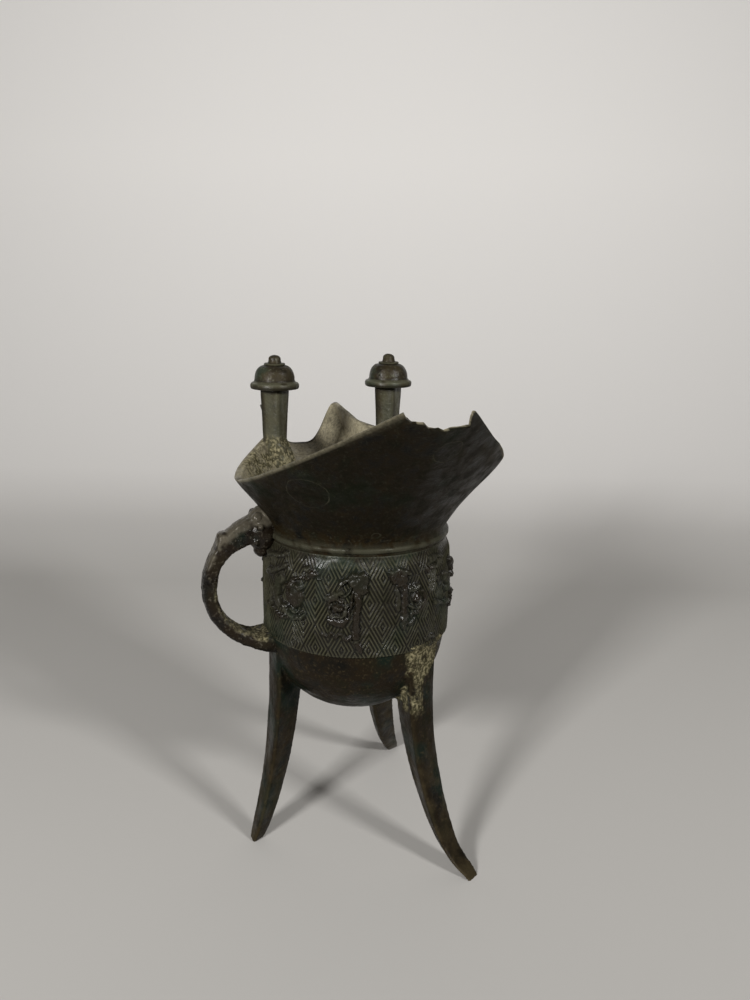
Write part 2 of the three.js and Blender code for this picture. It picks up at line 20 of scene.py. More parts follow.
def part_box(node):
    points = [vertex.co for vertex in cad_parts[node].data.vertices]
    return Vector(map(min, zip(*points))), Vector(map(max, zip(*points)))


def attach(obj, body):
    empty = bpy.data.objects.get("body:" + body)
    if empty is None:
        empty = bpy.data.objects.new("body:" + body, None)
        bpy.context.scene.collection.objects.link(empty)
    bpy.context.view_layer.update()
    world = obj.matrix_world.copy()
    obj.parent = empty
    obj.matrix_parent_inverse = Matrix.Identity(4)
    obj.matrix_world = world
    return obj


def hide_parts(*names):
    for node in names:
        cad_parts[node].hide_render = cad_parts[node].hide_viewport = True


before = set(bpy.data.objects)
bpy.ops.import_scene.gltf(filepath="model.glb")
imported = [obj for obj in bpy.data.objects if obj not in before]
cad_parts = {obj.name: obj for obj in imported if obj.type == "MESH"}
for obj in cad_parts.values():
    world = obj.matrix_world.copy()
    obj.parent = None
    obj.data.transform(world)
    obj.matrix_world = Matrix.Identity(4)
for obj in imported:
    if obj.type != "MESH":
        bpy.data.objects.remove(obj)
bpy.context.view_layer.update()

logging.basicConfig(level=logging.INFO, format="%(message)s")
log = logging.getLogger("jue")

MM = 0.001
NODE = "jue_vessel"
UP = Vector((0, 0, 1))

Piece = bpy.types.Object
Material = bpy.types.Material
Tree = bpy.types.NodeTree
Socket = bpy.types.NodeSocket
Place = tuple[float, float, float]
Values = np.ndarray | float


class Tint(Enum):
    """Marks that a piece's mesh can carry, each laid over the bare patina; pale and dark also paint
    light and shade in places, and inner is painted light.
    """

    LINE = "line"
    FIGURE = "figure"
    CRUST = "crust"
    PALE = "pale"
    DARK = "dark"
    # painted light: the mouth's lit inside and the highlight along its edge
    INNER = "inner"


def linear(code: str) -> tuple[float, float, float, float]:
    """Turns an sRGB hex colour into linear values.

    Args:
        code: the colour as six hex digits.

    Returns:
        Red, green, blue and a full alpha.
    """
    shares = [int(code[i : i + 2], 16) / 255 for i in (0, 2, 4)]
    values = [s / 12.92 if s <= 0.04045 else ((s + 0.055) / 1.055) ** 2.4 for s in shares]
    return (values[0], values[1], values[2], 1.0)


def smooth(value: Values) -> Values:
    """Eases a share from 0 to 1.

    Args:
        value: the share, which is held between 0 and 1.

    Returns:
        The eased share.
    """
    share = np.clip(value, 0, 1)
    return share * share * (3 - 2 * share)


def blend(low: float, high: float, share: Values) -> Values:
    """Value between two others, at a share of the way."""
    return low + (high - low) * share


def mottle(points: np.ndarray, size: float, seed: float) -> np.ndarray:
    """Soft seeded unevenness at each point.

    Args:
        points: places in metres.
        size: about how far apart its highs are.
        seed: moves to another part of the same noise.

    Returns:
        A value from about -1 to 1 for each point.
    """
    scale = 1 / (size * MM)
    shift = Vector((seed, 2 * seed, 3 * seed))
    return np.array([noise.fractal(Vector(p) * scale + shift, 0.6, 2.0, 3) for p in points])


def only(piece: Piece) -> None:
    """Makes a piece the only selected one and the active one.

    Args:
        piece: the piece.
    """
    bpy.ops.object.select_all(action="DESELECT")
    piece.select_set(True)
    bpy.context.view_layer.objects.active = piece


@contextmanager
def editing(piece: Piece) -> Iterator[None]:
    """Opens a piece for edits with its whole mesh selected, and closes it afterwards.

    Args:
        piece: the piece.

    Yields:
        Nothing, while the piece is open.
    """
    only(piece)
    bpy.ops.object.mode_set(mode="EDIT")
    bpy.ops.mesh.select_all(action="SELECT")
    yield
    bpy.ops.object.mode_set(mode="OBJECT")


def places(piece: Piece) -> np.ndarray:
    """Reads where a piece's vertices are.

    Args:
        piece: the piece.

    Returns:
        Their places in metres, one row for each.
    """
    flat = np.empty(3 * len(piece.data.vertices))
    piece.data.vertices.foreach_get("co", flat)
    return flat.reshape(-1, 3)


def normals(piece: Piece) -> np.ndarray:
    """Normals of all of a piece's vertices, one row for each."""
    return np.array([v.normal[:] for v in piece.data.vertices])


def from_axis(piece: Piece) -> np.ndarray:
    """Each vertex's x and y from the cup's axis and its height, as three rows."""
    return places(piece).T / MM - np.array([[AXIS[0]], [AXIS[1]], [0]])


def move_to(piece: Piece, points: np.ndarray) -> None:
    """Puts all of a piece's vertices at new places, in metres."""
    piece.data.vertices.foreach_set("co", points.ravel())
    piece.data.update()


def move_from_axis(piece: Piece, x: np.ndarray, y: np.ndarray, z: np.ndarray) -> None:
    """Puts all of a piece's vertices at new places, given from the cup's axis."""
    move_to(piece, np.column_stack([x + AXIS[0], y + AXIS[1], z]) * MM)


def mark(piece: Piece, tint: Tint, values: np.ndarray) -> None:
    """Keeps one number for each vertex, for the finish to read."""
    attribute = piece.data.attributes.new(tint.value, "FLOAT", "POINT")
    attribute.data.foreach_set("value", np.clip(values, 0, 1).astype(np.float32))


def finish_with(piece: Piece, kind: str, **settings: object) -> None:
    """Adds a modifier to a piece and applies it.

    Args:
        piece: the piece.
        kind: the modifier's type.
        **settings: the modifier's own properties.
    """
    only(piece)
    modifier = piece.modifiers.new(kind.lower(), kind)
    for key, value in settings.items():
        setattr(modifier, key, value)
    bpy.ops.object.modifier_apply(modifier=modifier.name)


def close_up(piece: Piece, gap: float = 0.01) -> None:
    """Merges doubles, fills open ends and turns all faces outwards.

    Args:
        piece: the piece.
        gap: how near vertices are merged.
    """
    with editing(piece):
        bpy.ops.mesh.remove_doubles(threshold=gap * MM)
        bpy.ops.mesh.select_all(action="SELECT")
        bpy.ops.mesh.fill_holes(sides=0)
        bpy.ops.mesh.select_all(action="SELECT")
        bpy.ops.mesh.normals_make_consistent(inside=False)


def tube(name: str, around: int, levels: int, shape: Callable[[int, int], Place]) -> Piece:
    """A tube of rings, extruded upwards and then shaped ring by ring.

    Args:
        name: the piece's name.
        around: vertices in a ring.
        levels: how often the ring is extruded.
        shape: gives a vertex's place from the cup's axis, from its turn and its ring.

    Returns:
        The closed piece.
    """
    bpy.ops.mesh.primitive_circle_add(vertices=around, radius=1, fill_type="NOTHING")
    piece = bpy.context.object
    piece.name = name
    with editing(piece):
        for _ in range(levels):
            bpy.ops.mesh.extrude_region_move(TRANSFORM_OT_translate={"value": (0, 0, 1)})
    blank = places(piece)
    turns = np.round(np.arctan2(blank[:, 1], blank[:, 0]) / math.tau * around).astype(int) % around
    rings = np.round(blank[:, 2]).astype(int)
    shaped = np.array([shape(t, r) for t, r in zip(turns.tolist(), rings.tolist())])
    move_from_axis(piece, *shaped.T)
    close_up(piece)
    return piece


def turned(name: str, around: int, profile: list[tuple], centre: Place = (0, 0, 0)) -> Piece:
    """A closed piece of revolution about an upright axis.

    Args:
        name: the piece's name.
        around: vertices in a ring.
        profile: radius and height over the centre of each ring.
        centre: a point on the axis, from the cup's own axis.

    Returns:
        The piece.
    """

    def ring(turn: int, level: int) -> Place:
        """Place of one vertex.

        Args:
            turn: which vertex of its ring it is.
            level: which ring it is on.

        Returns:
            The place from the cup's axis.
        """
        radius, z = profile[level]
        angle = math.radians(360 * turn / around)
        x, y = radius * math.cos(angle), radius * math.sin(angle)
        return (centre[0] + x, centre[1] + y, centre[2] + z)

    return tube(name, around, len(profile) - 1, ring)


def fuse(pieces: list[Piece], name: str, grain: float, rounds: int) -> Piece:
    """Casts overlapping closed pieces into one, with soft fillets where they met.

    Args:
        pieces: the pieces, of which the first keeps its place in the file.
        name: the new piece's name.
        grain: the size of the new faces.
        rounds: how often the surface is relaxed, for the width of the fillets.

    Returns:
        The one piece.
    """
    only(pieces[0])
    for piece in pieces:
        piece.select_set(True)
    bpy.ops.object.join()
    whole = bpy.context.object
    whole.name = name
    finish_with(whole, "REMESH", mode="VOXEL", voxel_size=grain * MM, adaptivity=0)
    finish_with(whole, "SMOOTH", factor=0.5, iterations=rounds)
    return whole


def roughen(piece: Piece, depth: float, size: float, seed: float) -> None:
    """Gives a piece the slight unevenness of old cast metal.

    Args:
        piece: the piece.
        depth: how far the surface wanders.
        size: about how far apart its highs are.
        seed: moves to another part of the noise.
    """
    points = places(piece)
    wander = mottle(points, size, seed)[:, None] * depth * MM
    move_to(piece, points + normals(piece) * wander)


@dataclass(frozen=True)
class Cup:
    """Sizes that the vessel's pieces share."""

    under_bowl: float = 49.2
    bowl_radius: float = 30.5
    bowl_depth: float = 28.8
    band_radius: float = 32.1
    band_top_radius: float = 31.4
    band_height: float = 30.3
    neck_radius: float = 30.2
    neck_height: float = 7.0
    wall: float = 2.0
    mouth_half_width: float = 41.7
    spout_reach: float = 74.0
    lip_crown: float = 0.5

    @property
    def band_bottom(self) -> float:
        """Height of the band's lower edge."""
        return self.under_bowl + self.bowl_depth

    @property
    def band_top(self) -> float:
        """Height of the band's upper edge."""
        return self.band_bottom + self.band_height

    @property
    def neck_top(self) -> float:
        """Height where the mouth starts to flare."""
        return self.band_top + self.neck_height

    @property
    def seat(self) -> float:
        """Height inside the band where the bowl's piece and the mouth's piece meet."""
        return self.band_bottom + 8

    @property
    def inner_radius(self) -> float:
        """Radius of the cup's inside at the bowl's rim."""
        return self.bowl_radius - self.wall

    @property
    def per_degree(self) -> float:
        """Length of one degree round the band."""
        return math.pi * self.band_radius / 180

    @property
    def axis(self) -> tuple[float, float]:
        """Where the cup's axis stands in the shared frame, worked out from the solid's box.

        Returns:
            Its x and y.
        """
        low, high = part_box(NODE)
        reach = self.spout_reach + self.lip_crown
        return (high.x / MM - reach, low.y / MM + self.mouth_half_width)

    def at(self, x: float, y: float, z: float) -> Place:
        """Place in the shared frame, in metres, of a point given from the cup's axis."""
        return ((x + AXIS[0]) * MM, (y + AXIS[1]) * MM, z * MM)

    def band_face(self, height: float) -> float:
        """Radius of the band's ground.

        Args:
            height: the height over the band's lower edge.

        Returns:
            The radius, fullest half way up.
        """
        share = min(max(height / self.band_height, 0), 1)
        fullness = 1 - (2 * share - 1) ** 2
        straight = blend(self.band_radius - 0.3, self.band_top_radius, share)
        return float(blend(straight, self.band_radius, fullness))


CUP = Cup()
AXIS = CUP.axis


def add_node(
    tree: Tree, kind: str, inputs: dict[int | str, object], **settings: object
) -> bpy.types.Node:
    """Adds a node to a tree, with its settings and links.

    Args:
        tree: the material's node tree.
        kind: the node's type.
        inputs: for each input, by name or number, a value or the output that feeds it.
        **settings: the node's own properties.

    Returns:
        The new node.
    """
    node = tree.nodes.new(kind)
    for key, value in settings.items():
        setattr(node, key, value)
    for key, value in inputs.items():
        if isinstance(value, Socket):
            tree.links.new(value, node.inputs[key])
        else:
            node.inputs[key].default_value = value
    return node


@dataclass(frozen=True)
class PatinatedBronze:
    """Cast bronze under an old brown and green patina, handled until it has a soft waxy gloss.

    It looks nearly black where it lies in shade, with a broken sheen on round forms; its high
    edges are worn paler, with a painted highlight laid along them as well, and its hollows hold an
    earthy ochre and grey-green crust. Each size is the distance between the highs of a pattern.
    The specks and the pits of the cast skin are finer than this on real bronze, and are drawn as
    coarse as they need to be to show.
    """

    name: str
    dark: str = "0c0a07"
    brown: str = "18120c"
    olive: str = "1c1c13"
    green: str = "151e17"
    pale: str = "3f3e32"
    line: str = "363529"
    figure: str = "1e160b"
    # painted light: the lighter colour of the mouth's lit inside and of the highlight on its edge
    inner: str = "aaa187"
    crust: str = "423e2c"
    crust_light: str = "877f63"
    metallic: float = 0.15
    specular_low: float = 0.05
    specular_high: float = 0.35
    smoothest: float = 0.3
    roughest: float = 0.6
    figure_gloss: float = 0.22
    figure_polish: float = 0.2
    patch_size: float = 9.0
    green_size: float = 16.0
    green_share: float = 0.35
    speck_size: float = 1.0
    grain_size: float = 0.7
    grain_depth: float = 0.1
    lump_size: float = 2.6
    lump_depth: float = 0.22
    scratch_width: float = 0.15
    scratch_wander: float = 2.0
    scratches: tuple = ()

    def build(self) -> Material:
        """Makes the material.

        Returns:
            The material, read from Object coordinates and from the mesh's own marks.
        """
        material = bpy.data.materials.new(self.name)
        material.use_nodes = True
        tree = material.node_tree
        tree.nodes.clear()
        place = add_node(tree, "ShaderNodeTexCoord", {}).outputs["Object"]
        noises = self._noises(tree, place)
        shares = self._shares(tree, noises)
        marks = {}
        for tint in Tint:
            node = add_node(tree, "ShaderNodeAttribute", {}, attribute_name=tint.value)
            marks[tint] = node.outputs["Fac"]
        scratches = self._scratch_lines(tree, place)
        colour, crusted = self._colour(tree, noises["patch"], shares, marks, scratches)
        sums = []
        for share, base in ((self.figure_gloss, "sheen"), (-self.figure_polish, "rough")):
            inputs = {0: marks[Tint.FIGURE], 1: share, 2: shares[base]}
            node = add_node(tree, "ShaderNodeMath", inputs, operation="MULTIPLY_ADD")
            sums.append(node.outputs["Value"])
        sheen, polished = sums
        rough = add_node(
            tree, "ShaderNodeMath", {0: polished, 1: crusted}, operation="ADD", use_clamp=True
        )
        pits = add_node(
            tree, "ShaderNodeMath", {0: noises["grain"], 1: noises["patch"]}, operation="ADD"
        )
        normal = {}
        for depth, height in (
            (self.lump_depth, noises["lump"]), (self.grain_depth, pits.outputs["Value"])
        ):
            inputs = {"Strength": 1.0, "Distance": depth * MM, "Height": height, **normal}
            normal = {"Normal": add_node(tree, "ShaderNodeBump", inputs).outputs["Normal"]}
        surface = {
            "Base Color": colour,
            "Metallic": self.metallic,
            "Specular IOR Level": sheen,
            "Roughness": rough.outputs["Value"],
            **normal,
        }
        shader = add_node(tree, "ShaderNodeBsdfPrincipled", surface)
        add_node(tree, "ShaderNodeOutputMaterial", {"Surface": shader.outputs["BSDF"]})
        return material

    def _noises(self, tree: Tree, place: Socket) -> dict[str, Socket]:
        """Adds the patina's noises.

        Args:
            tree: the material's node tree.
            place: the Object coordinates.

        Returns:
            The noises by name.
        """
        noises = {}
        for name, size, detail in (
            ("patch", self.patch_size, 6),
            ("green", self.green_size, 4),
            ("speck", self.speck_size, 3),
            ("crust", 0.45 * self.patch_size, 8),
            ("grain", self.grain_size, 6),
            ("lump", self.lump_size, 2),
        ):
            inputs = {"Vector": place, "Scale": 1 / (size * MM), "Detail": detail, "Roughness": 0.6}
            noises[name] = add_node(tree, "ShaderNodeTexNoise", inputs).outputs["Fac"]
        return noises

    def _shares(self, tree: Tree, noises: dict[str, Socket]) -> dict[str, Socket]:
        """Turns the noises into shares of what they lay down.

        Args:
            tree: the material's node tree.
            noises: the noises by name.

        Returns:
            The shares by name.
        """
        edges = add_node(tree, "ShaderNodeNewGeometry", {}).outputs["Pointiness"]
        green_low = 0.62 - 0.3 * self.green_share
        green_high = 0.72 - 0.25 * self.green_share
        shares = {}
        for name, value, low, high, start, end in (
            ("green", noises["green"], green_low, green_high, 0, 1),
            ("specks", noises["speck"], 0.56, 0.7, 0, 0.5),
            # pale on sharp edges, found by pointiness: partly rubbed wear, partly a painted
            # highlight along the edges
            ("worn", edges, 0.515, 0.6, 0, 0.6),
            ("inner", noises["speck"], 0.35, 0.6, 0.5, 0.95),
            ("scratch", noises["patch"], 0.36, 0.52, 0, 1),
            ("crust", noises["crust"], 0.36, 0.5, 0, 1),
            ("crust_light", noises["speck"], 0.45, 0.6, 0, 1),
            ("rough", noises["patch"], 0.35, 0.65, self.smoothest, self.roughest),
            ("sheen", noises["patch"], 0.4, 0.62, self.specular_high, self.specular_low),
        ):
            inputs = {"Value": value, 1: low, 2: high, 3: start, 4: end}
            shares[name] = add_node(tree, "ShaderNodeMapRange", inputs).outputs["Result"]
        return shares

    def _scratch_lines(self, tree: Tree, place: Socket) -> list[Socket]:
        """Adds a thin unsteady ring for each scratch.

        Args:
            tree: the material's node tree.
            place: the Object coordinates.

        Returns:
            A mask for each scratch.
        """
        size = self.scratch_wander * MM
        inputs = {"Vector": place, "Scale": 1 / (2 * size), "Detail": 3}
        wander = add_node(tree, "ShaderNodeTexNoise", inputs).outputs["Color"]
        inputs = {0: wander, 1: (size, size, size), 2: place}
        shaken = add_node(tree, "ShaderNodeVectorMath", inputs, operation="MULTIPLY_ADD")
        lines = []
        for x, y, z, reach in self.scratches:
            inputs = {0: shaken.outputs["Vector"], 1: CUP.at(x, y, z)}
            away = add_node(tree, "ShaderNodeVectorMath", inputs, operation="DISTANCE")
            inputs = {0: away.outputs["Value"], 1: reach * MM, 2: self.scratch_width * MM}
            line = add_node(tree, "ShaderNodeMath", inputs, operation="COMPARE")
            lines.append(line.outputs["Value"])
        return lines

    def _colour(
        self,
        tree: Tree,
        patch: Socket,
        shares: dict[str, Socket],
        marks: dict[Tint, Socket],
        scratches: list[Socket],
    ) -> tuple[Socket, Socket]:
        """Lays the colours of the patina over each other.

        Args:
            tree: the material's node tree.
            patch: the noise of the patches.
            shares: the shares by name.
            marks: the mesh's own marks.
            scratches: the masks of the scratches.

        Returns:
            The colour, and the mask of the crust, which comes last.
        """
        ramp = add_node(tree, "ShaderNodeValToRGB", {"Fac": patch})
        stops = ramp.color_ramp.elements
        stops.new(0.5)
        bare = ((0.33, self.dark), (0.5, self.brown), (0.72, self.olive))
        for stop, (position, code) in zip(stops, bare):
            stop.position, stop.color = position, linear(code)
        crust = add_node(
            tree,
            "ShaderNodeMix",
            {0: shares["crust_light"], 6: linear(self.crust), 7: linear(self.crust_light)},
            data_type="RGBA",
        )
        pale = linear(self.pale)
        layers = [
            (linear(self.green), shares["green"]),
            (pale, shares["specks"]),
            # pale on sharp edges: wear together with a painted edge highlight
            (pale, shares["worn"]),
            (linear(self.line), marks[Tint.LINE], 0.85),
            (pale, marks[Tint.PALE], 0.9),
            (linear(self.figure), marks[Tint.FIGURE], 0.9),
            (linear(self.dark), marks[Tint.DARK], 0.9),
            # painted light on the mouth's inside and edge
            (linear(self.inner), marks[Tint.INNER], shares["inner"]),
            *((pale, line, shares["scratch"], marks[Tint.DARK]) for line in scratches),
            (crust.outputs[2], marks[Tint.CRUST], shares["crust"]),
        ]
        colour = ramp.outputs["Color"]
        for top, mask, *factors in layers:
            for factor in factors:
                inputs = {0: mask, 1: factor}
                product = add_node(tree, "ShaderNodeMath", inputs, operation="MULTIPLY")
                mask = product.outputs["Value"]
            inputs = {0: mask, 6: colour, 7: top}
            colour = add_node(tree, "ShaderNodeMix", inputs, data_type="RGBA").outputs[2]
        return colour, mask


@dataclass(frozen=True)
class Leg:
    """What sets one leg apart: its azimuth, how far it splays and kicks out, and its root."""

    azimuth: float
    splay: float
    kick: float
    root_depth: float


@dataclass
class BowlAndLegs:
    """The round bowl below the band and the three legs that carry it."""

    leg_radius: float = 30.0
    foot_width: float = 6.4
    foot_depth: float = 4.8
    root_width: float = 14.0
    curve: float = 2.2
    straight_share: float = 0.86
    kick_height: float = 10.0
    foot_spare: float = 0.5
    foot_wear: float = 0.2
    foot_wear_height: float = 2.4
    root_flare: float = 1.1
    root_flare_height: float = 3.2
    leg_section: tuple = (
        (0.12, 1.0), (0.03, 0.86), (0.0, 0.5), (0.0, 0.0), (0.0, -0.5), (0.03, -0.86),
        (0.12, -1.0), (0.33, -0.78), (0.55, -0.54), (0.8, -0.32), (1.0, -0.1),
        (1.0, 0.1), (0.8, 0.32), (0.55, 0.54), (0.33, 0.78),
    )
    legs: tuple = (
        Leg(90.0, 8.2, 0.0, 11.5), Leg(211.8, 18.0, 5.4, 13.2), Leg(324.3, 25.3, 1.0, 13.2)
    )
    crust_leg: int = 1
    grain: float = 0.55

    def build(self, finish: Material) -> Piece:
        """Models the bowl with its legs, cast together, and dresses it.

        Args:
            finish: the bronze.

        Returns:
            The piece.
        """
        parts = [self._bowl(), *(self._leg(leg) for leg in self.legs)]
        piece = fuse(parts, "bowl_and_legs", self.grain, rounds=3)
        roughen(piece, depth=0.12, size=7, seed=3.1)
        self._level_feet(piece)
        self._trim_inside(piece)
        self._mark_surface(piece)
        return dress(piece, finish, crease=40)

    def _bowl(self) -> Piece:
        """Shell of the bowl, up to where it meets the mouth's piece inside the band.

        Returns:
            The shell.
        """
        steps = 14
        bottom = CUP.band_bottom
        walls = []
        for inset in (0, CUP.wall):
            angles = [math.radians(90 * step / steps) for step in range(steps + 1)]
            radius, depth = CUP.bowl_radius - inset, CUP.bowl_depth - inset
            walls.append([(radius * math.sin(a), bottom - depth * math.cos(a)) for a in angles])
        outer, inner = walls
        outer += [(CUP.bowl_radius + 0.4, bottom + 2), (CUP.bowl_radius + 0.4, CUP.seat)]
        inner += [(CUP.inner_radius + 0.5, bottom + 3), (CUP.inner_radius + 0.9, CUP.seat)]
        return turned("bowl", around=120, profile=outer + inner[::-1])

    def _leg(self, leg: Leg) -> Piece:
        """One leg, a broad outer face with a ridge towards the axis, from the floor to the band.

        Args:
            leg: what sets it apart.

        Returns:
            The leg.
        """
        top = CUP.band_bottom + 1.5
        slices = 44
        out = math.radians(leg.azimuth)

        def ring(turn: int, level: int) -> Place:
            """Place of one vertex of the leg.

            Args:
                turn: which vertex of its ring it is.
                level: which ring it is on.

            Returns:
                The place from the cup's axis.
            """
            z = blend(-self.foot_spare, top, level / slices)
            curl = leg.kick * min(1.0, max(0.0, 1 - z / self.kick_height)) ** 2
            share = max(0.0, z / (CUP.band_bottom - 1))
            bend = max(0.0, 1 - share / self.straight_share) ** self.curve
            face = self.leg_radius + leg.splay * bend + curl
            flare = math.exp(-(CUP.band_bottom - z) / self.root_flare_height)
            half = blend(self.foot_width, self.root_width, min(share, 1) ** 0.65) / 2
            deep = blend(self.foot_depth, leg.root_depth, min(share, 1) ** 0.72)
            low = min(1.0, max(0.0, 1 - z / self.foot_wear_height))
            worn = 1 - self.foot_wear * low**2
            inward, aside = self.leg_section[turn]
            radial = face + self.root_flare * flare - inward * deep * blend(1.0, worn, 0.6)
            side = aside * half * worn * (1 + 0.22 * flare)
            x = radial * math.cos(out) - side * math.sin(out)
            y = radial * math.sin(out) + side * math.cos(out)
            return (x, y, z)

        return tube("leg", len(self.leg_section), slices, ring)

    def _level_feet(self, piece: Piece) -> None:
        """Stands the feet flat on the floor.

        Args:
            piece: the bowl with its legs.
        """
        points = places(piece)
        points[:, 2] = np.maximum(points[:, 2], 0)
        move_to(piece, points)

    def _trim_inside(self, piece: Piece) -> None:
        """Presses back what a leg's root would show on the bowl's inner wall.

        Args:
            piece: the bowl with its legs.
        """
        x, y, z = from_axis(piece)
        radius = np.hypot(x, y)
        rise = z - CUP.band_bottom
        sphere = np.hypot(radius / CUP.inner_radius, rise / (CUP.bowl_depth - CUP.wall))
        near = (sphere < 1.0) & (rise < 0) & (radius > 1)
        grow = np.where(near, 1 / np.maximum(sphere, 0.5), 1.0)
        move_from_axis(piece, x * grow, y * grow, CUP.band_bottom + rise * grow)

    def _mark_surface(self, piece: Piece) -> None:
        """Marks the crust at a leg's root, measured in degrees, and the paler worn shins and feet.

        Args:
            piece: the bowl with its legs.
        """
        x, y, z = from_axis(piece)
        patchy = mottle(places(piece), size=6, seed=5.2)
        aside = np.degrees(np.arctan2(y, x)) % 360 - self.legs[self.crust_leg].azimuth
        root = smooth((z - 64) / 8)
        half_width = 5 + 12 * root
        middle = -7 + 5 * root
        trail = smooth((half_width - np.abs(aside - middle + 5 * patchy)) / 2.5)
        trail *= smooth((z - 52) / 5)
        mark(piece, Tint.CRUST, trail * smooth(1.1 + 1.2 * patchy))
        feet = 0.7 * smooth((9 - z) / 9) * smooth(0.8 + patchy)
        shins = 0.32 * smooth((52 - z) / 25) * smooth(0.55 + 1.5 * patchy)
        mark(piece, Tint.PALE, np.maximum(feet, shins))


@dataclass(frozen=True)
class Ridge:
    """A rounded ridge of the relief, along points of offset in degrees and height."""

    path: tuple
    width: float
    rise: float
    tint: Tint = Tint.FIGURE
    widest_shoulder: float = 0.85

    @property
    def shoulder(self) -> float:
        """How far in from its edge it reaches its full rise."""
        return min(self.widest_shoulder, self.width / 2)

    def inward(self, across: np.ndarray, height: np.ndarray) -> np.ndarray:
        """How far inside the ridge's edge each vertex lies.

        Args:
            across: distance of each vertex from the mask's axis.
            height: its height over the band's lower edge.

        Returns:
            The distances, negative outside.
        """
        points = [(offset * CUP.per_degree, rise) for offset, rise in self.path]
        nearest = np.full(len(across), 1e9)
        for (x0, y0), (x1, y1) in zip(points, points[1:]):
            dx, dy = x1 - x0, y1 - y0
            along = ((across - x0) * dx + (height - y0) * dy) / (dx * dx + dy * dy)
            along = np.clip(along, 0, 1)
            gap = np.hypot(across - x0 - along * dx, height - y0 - along * dy)
            nearest = np.minimum(nearest, gap)
        return self.width / 2 - nearest


@dataclass(frozen=True)
class Boss:
    """A low rounded boss of the relief, with its half sizes."""

    place: tuple
    half_width: float
    half_height: float
    rise: float
    tint: Tint = Tint.FIGURE

    @property
    def shoulder(self) -> float:
        """How far in from its edge it reaches its full rise."""
        return min(self.half_width, self.half_height)

    def inward(self, across: np.ndarray, height: np.ndarray) -> np.ndarray:
        """How far inside the boss's edge each vertex lies.

        Args:
            across: distance of each vertex from the mask's axis.
            height: its height over the band's lower edge.

        Returns:
            The distances, negative outside.
        """
        wide = (across - self.place[0] * CUP.per_degree) / self.half_width
        high = (height - self.place[1]) / self.half_height
        return (1 - np.hypot(wide, high)) * self.shoulder


